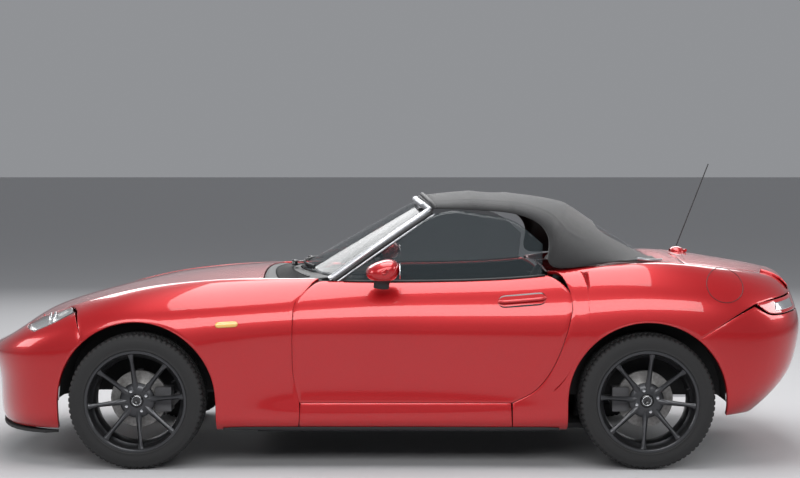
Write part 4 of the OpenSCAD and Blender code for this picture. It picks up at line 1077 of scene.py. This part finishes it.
for tag, side in (("left", leftSide), ("right", rightSide)):
    y = side * cabinSpec["seatY"]
    seat = padPiece("seatCushion_" + tag, cabinSpec["cushion"], y, [[0, 0.17], [0.5, 0.165], [1, 0.155]],
                    [[0, 0.045], [0.3, 0.058], [1, 0.05]])
    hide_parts("seats")
    padPiece("seatBack_" + tag, cabinSpec["back"], y,
             [[0, 0.155], [0.45, 0.165], [0.72, 0.150], [0.86, 0.118], [1, 0.105]],
             [[0, 0.045], [0.5, 0.050], [0.85, 0.036], [1, 0.034]])
    for edge, k in (("inner", -1), ("outer", 1)):
        low = [[x + 0.008, z + 0.030] for x, z in cabinSpec["cushion"]]
        padPiece(f"seatBolster_{edge}_{tag}", low, y + side * k * 0.180,
                 [[0, 0.030], [0.5, 0.034], [1, 0.030]],
                 [[0, 0.040], [0.5, 0.052], [1, 0.048]], 20, 20, 0.8)
        high = [[x - 0.030, z] for x, z in cabinSpec["back"][:4]]
        padPiece(f"seatWing_{edge}_{tag}", high, y + side * k * 0.172, [[0, 0.032], [0.6, 0.036], [1, 0.022]],
                 [[0, 0.048], [0.5, 0.056], [1, 0.026]], 20, 20, 0.8)
    shell = boxPiece("seatBase_" + tag, (0.20, y - 0.17, 0.178), (0.66, y + 0.17, 0.31), plastic, 0.02)
    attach(shell, "body")
    back = smoothLine([[0.70, 0.30], [0.745, 0.50], [0.812, 0.70], [0.852, 0.85], [0.866, 0.91]], 20)
    across = np.linspace(-1, 1, 15)
    grid = np.stack([back[:, 0, None] - 0.035 * np.abs(across) ** 3,
                     y + 0.19 * across * (1 - 0.3 * np.linspace(0, 1, 21)[:, None] ** 3),
                     back[:, 1, None] + 0 * across], -1)
    shell = solidify(gridPiece("seatShell_" + tag, grid, plastic, flip=True), 0.006)
    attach(shell, "body")
    # roll hoop behind the seat: a bent tube
    turn = np.radians(np.linspace(0, 180, 25))
    leg = np.linspace(0.19, 0.89, 14)[:-1]
    hoopPath = np.concatenate([np.stack([0.872 + 0 * leg, y + 0.13 + 0 * leg, leg], 1),
                               np.stack([0.872 + 0 * turn, y + 0.13 * np.cos(turn),
                                         0.89 + 0.13 * np.sin(turn)], 1),
                               np.stack([0.872 + 0 * leg, y - 0.13 + 0 * leg, leg[::-1]], 1)])
    hoopBar = tubePiece("rollHoop_" + tag, hoopPath, 0.019, plastic, 16, up=(1, 0, 0))
    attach(hoopBar, "body")
    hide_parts("roll_hoops")

# dashboard: its section swept across the car, with a hooded dial pack, vents and a centre stack
section = smoothLine(cabinSpec["dash"], 60)
across = np.linspace(-0.592, 0.592, 41)
bow = 0.020 * (np.abs(across) / 0.592) ** 2
grid = np.stack([section[None, :, 0] - bow[:, None], across[:, None] + 0 * section[None, :, 0],
                 section[None, :, 1] - 0.012 * (np.abs(across[:, None]) / 0.592) ** 4], -1)
dash = gridPiece("dashboardTop", grid, plastic, caps=True)
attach(dash, "body")
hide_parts("dashboard")
turn = np.linspace(0, np.pi, 25)
outer = np.stack([0 * turn, 0.175 * np.cos(turn), 0.095 * np.sin(turn) ** 0.7], 1)
hood = np.stack([outer * k + np.array([x, -0.345, 0.800]) for x,
                 k in ((-0.34, 0.72), (-0.26, 0.95), (-0.16, 1.0), (-0.115, 0.96), (-0.125, 0.88),
                       (-0.25, 0.80))])
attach(solidify(gridPiece("dialHood", hood, plastic), 0.003, 0.0), "body")
for k, (y, r) in enumerate(((-0.430, 0.052), (-0.345, 0.040), (-0.262, 0.052))):
    turned = latheGrid([[0.0001, 0], [r, 0], [r, 0.012], [r + 0.006, 0.014], [r + 0.006, 0]], 40, (0, 0, 0))
    ring = np.stack([-0.150 + turned[..., 1] * -1, y + turned[..., 0], 0.842 + turned[..., 2]], -1)
    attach(gridPiece(f"dial_{k}", ring, gloss if k != 1 else silver, loopI=True), "body")
for k, y in enumerate((-0.540, -0.075, 0.075, 0.540)):
    turned = latheGrid([[0.0001, 0.002], [0.026, 0.002], [0.030, 0.012], [0.036, 0.012], [0.040, 0]], 36,
                       (0, 0, 0))
    ring = np.stack([-0.092 + turned[..., 1], y + turned[..., 0], 0.762 + turned[..., 2]], -1)
    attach(gridPiece(f"airVent_{k}", ring, silver, loopI=True, flip=True), "body")
stack = boxPiece("centreStack", (-0.36, -0.105, 0.42), (-0.105, 0.105, 0.71), gloss, 0.02)
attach(stack, "body")
tunnelTrim = boxPiece("tunnelTrim", (-0.36, -0.105, 0.30), (0.70, 0.105, 0.42), plastic, 0.03, 3)
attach(tunnelTrim, "body")
gaiter = latheGrid([[0.045, 0], [0.036, 0.015], [0.020, 0.045], [0.010, 0.070], [0.009, 0.105],
                    [0.022, 0.112], [0.024, 0.135], [0.014, 0.150], [0.0001, 0.152]], 28, (0, 0, 0))
knob = np.stack([0.02 + gaiter[..., 0], gaiter[..., 2], 0.418 + gaiter[..., 1]], -1)
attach(gridPiece("gearKnob", knob, leather, loopI=True, flip=True), "body")
leverPath = smoothLine([[0.24, 0.05, 0.425], [0.14, 0.05, 0.46], [0.10, 0.05, 0.475]], 10)
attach(tubePiece("handBrake", leverPath, 0.013, plastic, 12), "body")
for tag, side in (("left", leftSide), ("right", rightSide)):
    mat = boxPiece("footMat_" + tag, (-0.56, side * 0.345 - 0.20, 0.176),
                   (0.16, side * 0.345 + 0.20, 0.186), pile, 0.004)
    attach(mat, "body")
shelf = boxPiece("rearBulkheadTrim", (0.874, -0.56, 0.30), (0.880, 0.56, 0.78), pile)
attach(shelf, "body")

# steering wheel: rim, three spokes and an airbag pad, all square to the column
tilt = math.radians(90 - cabinSpec["rake"])
axis = np.array([math.sin(tilt), 0, math.cos(tilt)])
upWay = np.array([-math.cos(tilt), 0, math.sin(tilt)])


def atWheel(a, b, c):
    # point from the wheel's centre: a across, b up its face, c along the column
    a, b, c = np.broadcast_arrays(a, b, c)
    return (np.array(cabinSpec["wheelCentre"]) + a[..., None] * np.array([0, 1, 0])
            + b[..., None] * upWay + c[..., None] * axis)


turn = np.linspace(0, 2 * np.pi, 72, endpoint=False)
rim = tubePiece("steeringRim", atWheel(0.168 * np.cos(turn), 0.168 * np.sin(turn), 0.0), 0.0145, leather,
                16, up=tuple(axis), loop=True)
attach(rim, "steering_wheel")
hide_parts("steering_wheel")
for k, a in enumerate((0, 180, 270)):
    r = np.linspace(0.035, 0.166, 12)
    spoke = atWheel(r * math.cos(math.radians(a)), r * math.sin(math.radians(a)), -0.004)
    piece = tubePiece(f"wheelSpoke_{k}", spoke, 0.014, silver, 12, up=tuple(axis), flat=0.45)
    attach(piece, "steering_wheel")
r, c = np.array([[0.0001, 0.022], [0.030, 0.021], [0.052, 0.014], [0.062, 0.0], [0.060, -0.018],
                 [0.040, -0.022], [0.0001, -0.023]]).T
a = np.linspace(0, 2 * np.pi, 48, endpoint=False)[:, None]
hub = gridPiece("airbagPad", atWheel(r * np.cos(a), 0.92 * r * np.sin(a), c), leather, loopI=True)
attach(hub, "steering_wheel")

# door trims: the door's own skin set inboard, with an arm rest and a pull handle
for tag, side in (("left", leftSide), ("right", rightSide)):
    grid = doorGrid()
    middle = grid.reshape(-1, 3).mean(0)
    inner = (grid - middle) * np.array([0.985, 1, 0.97]) + middle
    inner[..., 1] = np.minimum(grid[..., 1] - 0.062, 0.735)
    inner = onSide(inner, side)
    trim = solidify(gridPiece("doorTrim_" + tag, inner, leather, flip=side == leftSide), 0.003, 0.0)
    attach(trim, "door_" + tag)
    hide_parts("door_" + tag)
    rest = padPiece("armRest_" + tag, [[-0.10, 0.600], [0.08, 0.615], [0.30, 0.625], [0.42, 0.62]],
                    side * 0.700,
                    [[0, 0.028], [0.5, 0.034], [1, 0.030]], [[0, 0.022], [0.5, 0.028], [1, 0.024]], 20, 20,
                    0.8)
    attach(rest, "door_" + tag)
    pull = smoothLine(np.array([[0.02, 0.705, 0.70], [0.04, 0.680, 0.705], [0.14, 0.676, 0.705],
                                [0.16, 0.705, 0.70]]) * [1, side, 1], 20)
    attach(tubePiece("doorPull_" + tag, pull, 0.008, silver, 12), "door_" + tag)
print("inside made")

# ---- outside trim ----
def deckGrid():
    # between the hood's rear edge, the quarters' upper edges and the lid's front edge
    s = np.linspace(0, 1, 45)[:, None]
    t = np.linspace(1, -1, 61)[None, :]
    x = 712 + (lines["lidFront"] - 5 - 712) * s
    side = skin(uAt(x, 7.0), 7.0)[..., 1] - gap
    y = side * t
    drop = 26 * np.clip(1 - (np.abs(t) / 0.93) ** 8, 0, 1) * np.clip((1290 - x) / 60, 0, 1)
    return np.stack([x + 0 * t, y, topHeight(x + 0 * t, y) - drop], -1) / 1000


deck = solidify(gridPiece("rearDeckSkin", deckGrid(), paint, flip=True), 0.0012)
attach(deck, "body")
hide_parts("rear_deck")


def cowlGrid():
    # from under the bonnet's rear edge to the foot of the glass
    s = np.linspace(0, 1, 14)[:, None, None]
    t = np.linspace(1, -1, 61)
    front = bonnetGrid()[-1] + np.array([0.006, 0, -0.006])
    back = screenPoint(np.float64(0.0), t) + np.array([-0.004, 0, -0.004])
    grid = front[None] + (back[None] - front[None]) * s
    grid[..., 2] -= 0.010 * np.sin(np.pi * s[..., 0])
    return grid


cowlSkin = solidify(gridPiece("cowlSkin", cowlGrid(), plastic, flip=False), 0.002)
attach(cowlSkin, "body")
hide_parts("cowl")
grid = cowlGrid()
slats = []
for k in range(5, 56, 2):
    line = (grid[3:11, k] + grid[3:11, k + 1]) / 2 + np.array([0, 0, 0.002])
    slats.append(tubePiece(f"slat_{k}", line, 0.0035, plastic, 8, up=(0, 1, 0)))
louvres = joined("cowlLouvres", slats)
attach(louvres, "body")

# wipers: parked along the foot of the screen, an arm and a blade each
for k, (hub, rest) in enumerate((((0.03), (0.62)), ((-0.60), (-0.02)))):
    t = np.linspace(hub, rest, 24)
    blade = screenPoint(np.full(24, 0.035), -t) + np.array([-0.004, 0, 0.010])
    piece = tubePiece(f"wiperBlade_{k}", blade, 0.0055, plastic, 8, flat=1.6)
    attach(piece, "body")
    arm = smoothLine([blade[2] + [-0.050, 0, -0.004], blade[6] + [-0.034, 0, 0.004],
                      blade[12] + [-0.006, 0, 0.010]], 16)
    piece = tubePiece(f"wiperArm_{k}", arm, 0.0065, gloss, 10, flat=0.6)
    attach(piece, "body")
    turned = latheGrid([[0.0001, 0.016], [0.010, 0.015], [0.015, 0.008], [0.016, -0.012]], 24, (0, 0, 0))
    cap = np.stack([turned[..., 0], turned[..., 2], turned[..., 1]],
                   -1) + blade[2] + np.array([-0.050, 0, -0.008])
    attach(gridPiece(f"wiperPivot_{k}", cap, gloss, loopI=True), "body")


def skinStrip(name, u0v0, u1v1, height, lift, thick, material, body, side, cells=40, rows=6, out=1.0):
    # raised strip on the skin between two places, height in v at either end
    s = np.linspace(0, 1, cells + 1)[:, None]
    h = np.linspace(-0.5, 0.5, rows + 1)[None, :]
    a, b = np.asarray(u0v0, float), np.asarray(u1v1, float)
    u = a[0] + (b[0] - a[0]) * s + 0 * h
    v = a[1] + (b[1] - a[1]) * s + h * height * np.maximum(1 - np.abs(2 * s - 1) ** 12, 0.15)
    p = onSkin(np.stack([u, v], -1))
    normal = unit(np.cross(np.gradient(p, axis=0), np.gradient(p, axis=1)))
    normal *= np.sign(normal[..., 1:2].mean())
    p = p + normal * (lift * out * (1 - (2 * h) ** 4)[..., None] * 0.999 + 0.0006)
    p = onSide(p, side)
    piece = solidify(gridPiece(name, p, material, flip=side == rightSide), thick)
    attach(piece, body)
    return piece


for tag, side in (("left", leftSide), ("right", rightSide)):
    # door handle: a bar standing off a gloss black oval on the skin, painted shade where the recess would be
    a, b = placed([[470, 757]])[0], placed([[690, 775]])[0]
    # gloss black oval strip: painted shade for the recess behind the handle
    skinStrip("handleRecess_" + tag, a, b, 0.42, -0.001, 0.0008, gloss, "door_" + tag, side)
    bar = onSkin(np.linspace(a + [0.02, 0], b - [0.02, 0], 24)) + np.array([0, 0.016, 0])
    bar[[0, -1], 1] -= 0.014
    bar[[1, -2], 1] -= 0.004
    bar = onSide(bar, side)
    piece = tubePiece("doorHandle_" + tag, bar, 0.0075, paint, 14, up=(0, 1, 0), flat=1.0)
    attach(piece, "door_" + tag)
    # side marker on the wing, and the strips along the sill and the window's foot
    skinStrip("sideMarker_" + tag, placed([[-800, 655]])[0], placed([[-700, 660]])[0], 0.16, 0.004, 0.002,
              amberLens, "body", side, 24)
    skinStrip("windowFoot_" + tag, [uAt(-225, 6.0), 6.0], [uAt(690, 6.0), 6.0], 0.10, 0.006, 0.002, plastic,
              "door_" + tag, side, 60)
    strip = skinStrip("sillStrip_" + tag, placed([[-770, 186]])[0], placed([[750, 186]])[0], 0.34, 0.006,
                      0.003, underside, "body", side, 60)
    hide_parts("side_sills")
    # mirror: a cap with a pointed front, its glass set in, on a black foot
    s = np.linspace(0, np.pi, 25)[:, None]
    a = np.linspace(0, 2 * np.pi, 40, endpoint=False)[None, :]
    y = 0.880 - 0.098 * np.cos(s) + 0 * a
    k = np.sin(s) ** 0.55
    x = -0.030 + k * (0.058 * np.cos(a) - 0.035 * (np.cos(a) < 0) * np.abs(np.cos(a)) ** 2)
    z = np.maximum(0.902 + k * 0.052 * np.sign(np.sin(a)) * np.abs(np.sin(a)) ** 0.85 + 0.008 * np.cos(a),
                   0.862)
    cap = np.stack([x, y, z], -1)
    cap = onSide(cap, side)
    piece = gridPiece("mirrorCap_" + tag, cap, paint, loopJ=True, caps=True, flip=side == rightSide)
    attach(piece, "door_" + tag)
    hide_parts("mirror_" + tag)
    r = np.linspace(0.001, 1, 6)[None, :]
    oval = np.stack([np.full((40, 6), 0.0295), 0.880 + 0.080 * r * np.cos(a.T),
                     0.902 + 0.036 * r * np.sin(a.T)], -1)
    oval = onSide(oval, side)
    piece = solidify(gridPiece("mirrorGlass_" + tag, oval, mirrorCup, loopI=True, flip=side == rightSide),
                     0.004, 0.0)
    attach(piece, "door_" + tag)
    foot = smoothLine([[-0.055, 0.805, 0.820], [-0.052, 0.815, 0.845], [-0.040, 0.838, 0.868]], 14)
    foot = foot * [1, side, 1]
    piece = tubePiece("mirrorFoot_" + tag, foot, 0.016, plastic, 16, up=(1, 0, 0), flat=2.2)
    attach(piece, "door_" + tag)
    # black triangle at the front of the window
    tri = np.array([[-0.222, 0.712, 0.872], [-0.060, 0.712, 0.874], [-0.098, 0.664, 0.970],
                    [-0.222, 0.712, 0.874]]) * [1, side, 1]
    quarter = patch(smoothLine(tri[:2], 12), smoothLine([tri[0] + [0, 0, 0.004], tri[2]], 12),
                    smoothLine([tri[0], tri[0] + [0, 0, 0.004]], 8), smoothLine([tri[1], tri[2]], 8))
    piece = solidify(gridPiece("windowCorner_" + tag, quarter, plastic, flip=side == rightSide), 0.006, 0.0)
    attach(piece, "door_" + tag)
    # arch flange: a narrow band turned inward round each wheel opening
    for end, axle, angles in (("front", lines["frontAxle"], (0, 180)), ("rear", lines["rearAxle"], (0, 180))):
        edge = onSkin(placed(archLine(axle, *angles, 60)))
        hub = np.array([axle / 1000, 0, lines["archHeight"] / 1000])
        way = unit((edge - hub) * [1, 0, 1])
        band = np.stack([edge + way * 0.002 + [0, 0.0008, 0], edge - way * 0.003 + [0, -0.002, 0],
                         edge - way * 0.005 + [0, -0.030, 0]], 1)
        band = onSide(band, side)
        piece = solidify(gridPiece(f"archFlange_{end}_{tag}", band, paint, flip=side == leftSide), 0.001, 0.0)
        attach(piece, "body")
print("trim made")

# headlamps: a clear cover on the skin over a dark bowl, and two reflectors with a ball each
def lampTurned(profile, centre, radius, aim):
    # profile of [share of the radius, offset in metres] turned round the lamp's aim
    across = unit(np.cross(aim, [0, 0, 1.0]))
    high = np.cross(across, aim)
    share, offset = np.array(profile).T
    ang = np.linspace(0, 2 * np.pi, 40, endpoint=False)[:, None]
    return (centre + (radius * share * np.cos(ang))[..., None] * across
            + (radius * share * np.sin(ang))[..., None] * high + (offset + 0 * ang)[..., None] * aim)


def lampCover(low, high, left, right, n=28, m=22):
    # Coons patch of skin parameters between four smooth edges, put on the skin
    return onSkin(patch(smoothLine(low, n), smoothLine(high, n), smoothLine(left, m), smoothLine(right, m)))


front, low, rear, top = (np.array(lines[k]) for k in ("lampFront", "lampLow", "lampRear", "lampTop"))
for tag, side in (("left", leftSide), ("right", rightSide)):
    f, b, r, t = front + [0.05, -0.05], low + [0.02, 0.06], rear + [-0.05, 0.0], top + [-0.05, -0.06]
    cover = lampCover([f, [(f[0] + b[0]) / 2 - 0.02, 5.45], b], [t, [(t[0] + r[0]) / 2 + 0.04, 5.95], r],
                      [f, [(f[0] + t[0]) / 2, 6.32], t], [b, [(b[0] + r[0]) / 2, 5.06], r])
    normal = unit(np.cross(np.gradient(cover, axis=0), np.gradient(cover, axis=1)))
    normal *= np.sign(normal[..., 2:3].mean())
    glassOver = cover + normal * 0.001
    shown = onSide(glassOver, side)
    piece = solidify(gridPiece("headlampCover_" + tag, shown, lens, flip=side == leftSide), 0.0025)
    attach(piece, "body")
    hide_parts("headlamps")
    i = np.linspace(0, 1, cover.shape[0])[:, None]
    j = np.linspace(0, 1, cover.shape[1])[None, :]
    depth = 0.006 + 0.036 * (np.sin(np.pi * np.clip(i, 0.02, 0.98)) * np.sin(np.pi * np.clip(j, 0.02,
                                                                                             0.98))) ** 0.5
    cup = cover - normal * depth[..., None]
    cup = onSide(cup, side)
    piece = solidify(gridPiece("headlampBowl_" + tag, cup, gloss, flip=side == leftSide), 0.002)
    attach(piece, "body")
    for k, (ci, cj, radius, finish) in enumerate(((7, 11, 0.036, mirrorCup), (17, 12, 0.046, mirrorCup))):
        centre = cover[ci, cj] - normal[ci, cj] * 0.030
        aim = unit(np.array([-0.93, 0.22, 0.18]))
        bowl = lampTurned([[0.0001, -0.012], [0.45, -0.010], [0.8, -0.002], [1.0, 0.010], [1.06, 0.011],
                           [1.07, 0.004]], centre, radius, aim)
        bowl = onSide(bowl, side)
        piece = gridPiece(f"headlampCup_{k}_{tag}", bowl, finish, loopI=True, flip=side == leftSide)
        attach(piece, "body")
        ball = lampTurned([[0.0001, 0.020], [0.25, 0.018], [0.42, 0.010], [0.5, -0.002], [0.5, -0.010]],
                          centre, radius, aim)
        ball = onSide(ball, side)
        piece = gridPiece(f"headlampBall_{k}_{tag}", ball, gloss, loopI=True, flip=side == leftSide)
        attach(piece, "body")
    # tail lamp: red surround on the skin with a silvered inner cell
    a, b = placed([[1650, 741]])[0], placed([[1842, 774]])[0]
    low2, high2 = np.array([17.55, 4.74]), np.array([17.5, 5.38])
    cover = onSkin(patch(smoothLine([a, placed([[1717, 700]])[0], [17.2, 4.62], low2], 30),
                         smoothLine([a + [0.01, 0.06], placed([[1735, 758]])[0], b, high2], 30),
                         smoothLine([a, a + [0.01, 0.06]], 14), smoothLine([low2, high2], 14)))
    normal = unit(np.cross(np.gradient(cover, axis=0), np.gradient(cover, axis=1)))
    normal *= np.sign(normal[..., 0:1].mean())
    shown = cover + normal * 0.0025
    shown = onSide(shown, side)
    piece = solidify(gridPiece("tailLamp_" + tag, shown, redLens, flip=side == leftSide), 0.004)
    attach(piece, "body")
    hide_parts("tail_lamps")
    inner = cover[10:26, 3:12] + normal[10:26, 3:12] * 0.0034
    inner = onSide(inner, side)
    piece = solidify(gridPiece("tailLampCell_" + tag, inner, mirrorCup, flip=side == leftSide), 0.0015)
    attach(piece, "body")

# third brake lamp pod, hood trim, exhaust tips, fuel flap line and rear plate
pod = []
for s in np.linspace(0, 1, 15):
    ang = np.linspace(0, np.pi, 21)
    w, h = 0.055 * math.sin(math.pi * min(max(s, 0.04),
                                          0.96)) ** 0.4, 0.026 * math.sin(math.pi * (0.08 + 0.84 * s)) ** 0.6
    x = 1.385 + 0.075 * s
    pod.append(np.stack([np.full(21, x), w * np.cos(ang),
                         topHeight(x * 1000, 0.0) / 1000 - 0.001 + h * np.sin(ang)], 1))
podPiece = gridPiece("brakeLampPod", np.stack(pod), paint, flip=True)
solidify(podPiece, 0.002)
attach(podPiece, "boot_lid")
bar = boxPiece("thirdBrakeLamp", (1.452, -0.045, 0.944), (1.463, 0.045, 0.958), redLens, 0.003)
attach(bar, "boot_lid")
a = np.linspace(-1, 1, 81)
edge = roofPoint(np.float64(0.995), a) + np.array([0.004, 0, 0.004])
band = tubePiece("hoodRearTrim", edge, 0.008, silver, 12)
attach(band, "body")
edge = roofPoint(np.float64(0.012), a) + np.array([-0.004, 0, 0.003])
band = tubePiece("hoodFrontSeal", edge, 0.010, plastic, 12)
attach(band, "body")
for k, y in enumerate((0.430, 0.515)):
    turned = latheGrid([[0.028, 0.0], [0.0285, 0.185], [0.033, 0.188], [0.035, 0.180], [0.034, 0.0]], 36,
                       (0, 0, 0))
    tip = np.stack([1.615 + turned[..., 1], y + turned[..., 0], 0.203 + turned[..., 2]], -1)
    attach(gridPiece(f"exhaustTip_{k}", tip, bright, loopI=True, flip=True), "body")
flap = {"x": 1503, "z": 828, "halfWide": 87, "halfHigh": 74}
turns = np.linspace(0, 2 * np.pi, 48, endpoint=False)
ring = onSkin(placed([[flap["x"] + flap["halfWide"] * math.cos(q), flap["z"] + flap["halfHigh"] * math.sin(q)]
                      for q in turns]))
ring = mirrored(ring + np.array([0, 0.0012, 0.0012]))
fuel = tubePiece("fuelFlapLine", ring, 0.0013, plastic, 6, loop=True)
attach(fuel, "body")
u = 19 - np.linspace(0.62, -0.62, 33)[:, None] + 0 * np.zeros((1, 9))
z = np.linspace(430, 540, 9)[None, :] + 0 * u
wide = np.minimum(u, 38 - u)
plateGrid = skin(wide, vAt(wide, z)) / 1000
plateGrid[..., 1] *= np.where(u > 19, -1, 1)
plateGrid[..., 0] += 0.003
plate = solidify(gridPiece("rearPlate", plateGrid, plastic), 0.003, 0.0)
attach(plate, "body")
print("lamps made")


# ---- finishes of the CAD nodes that show as they are ----
cadFinishes = dict.fromkeys(
    ["floor_pan", "front_grille", "front_lip", "rear_diffuser", "cowl"], underside)
cadFinishes |= dict.fromkeys(["engine", "front_subframe", "rear_subframe", "knuckle_front_left",
                              "knuckle_front_right"], cast)
cadFinishes |= {"exhaust": bright, "aerial": plastic, "roll_hoops": plastic, "dashboard": plastic,
                "steering_wheel": plastic, "seats": leather, "windscreen_frame": silver, "soft_top": cloth,
                "windscreen_glass": glass, "rear_window": glass, "headlamps": lens, "tail_lamps": redLens}
cadFinishes |= dict.fromkeys(["door_window_left", "door_window_right"], glass)
cadFinishes |= dict.fromkeys(["mirror_left", "mirror_right", "door_left", "door_right", "side_sills",
                              "rear_deck"], paint)
cadFinishes |= dict.fromkeys([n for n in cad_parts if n.startswith("tyre")], tyreRubber)
cadFinishes |= dict.fromkeys([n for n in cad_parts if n.startswith("wheel")], rimMetal)

# ---- camera, floor and light ----
studio = {"eye": (0.03, -7.85, 1.35), "pitch": 2.51, "lens": 70.4, "sky": 0.36}
camera = bpy.data.objects.new("camera", bpy.data.cameras.new("camera"))
camera.data.lens, camera.data.sensor_width = studio["lens"], 36.0
camera.location = studio["eye"]
camera.rotation_euler = (math.radians(90 - studio["pitch"]), 0, 0)
bpy.context.scene.collection.objects.link(camera)
bpy.context.scene.camera = camera

floorPaint = Shader("studioFloor", base_color=(0.46, 0.46, 0.47), roughness=0.75)
floor = meshPiece("floor", [(-300, -300, 0), (300, -300, 0), (300, 300, 0), (-300, 300, 0)], [(0, 1, 2, 3)],
                  floorPaint.material, smooth=False)


def lampPanel(name, place, aim, size, power, colour=(1, 1, 1)):
    # rectangular area lamp at place, turned towards aim
    lamp = bpy.data.lights.new(name, "AREA")
    lamp.shape, lamp.size, lamp.size_y, lamp.energy, lamp.color = "RECTANGLE", size[0], size[1], power, colour
    lampHolder = bpy.data.objects.new(name, lamp)
    lampHolder.location = place
    way = np.subtract(aim, place)
    lampHolder.rotation_euler = (math.atan2(math.hypot(way[0], way[1]), -way[2]), 0,
                                 math.atan2(way[1], way[0]) - math.pi / 2)
    bpy.context.scene.collection.objects.link(lampHolder)


lampPanel("overhead", (0, 0, 5.5), (0, 0, 0), (7, 4), 420)
lampPanel("nearSide", (0, -8, 4.6), (0, 0, 0.6), (9, 2.6), 420)
lampPanel("farSide", (0, 8, 4.6), (0, 0, 0.6), (9, 2.6), 300)
lampPanel("nose", (-8, -1.5, 3.4), (0, 0, 0.6), (3.5, 2.5), 160)
lampPanel("tail", (8, -1, 3.4), (0, 0, 0.6), (3.5, 2.5), 160)
world = bpy.data.worlds.new("studio")
world.use_nodes = True
world.node_tree.nodes["Background"].inputs["Color"].default_value = (0.78, 0.80, 0.84, 1)
world.node_tree.nodes["Background"].inputs["Strength"].default_value = studio["sky"]
bpy.context.scene.world = world
bpy.context.scene.view_settings.view_transform = "Standard"

for node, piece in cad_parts.items():
    finish = cadFinishes.get(node)
    if finish is not None:
        piece.data.materials.clear()
        piece.data.materials.append(finish)
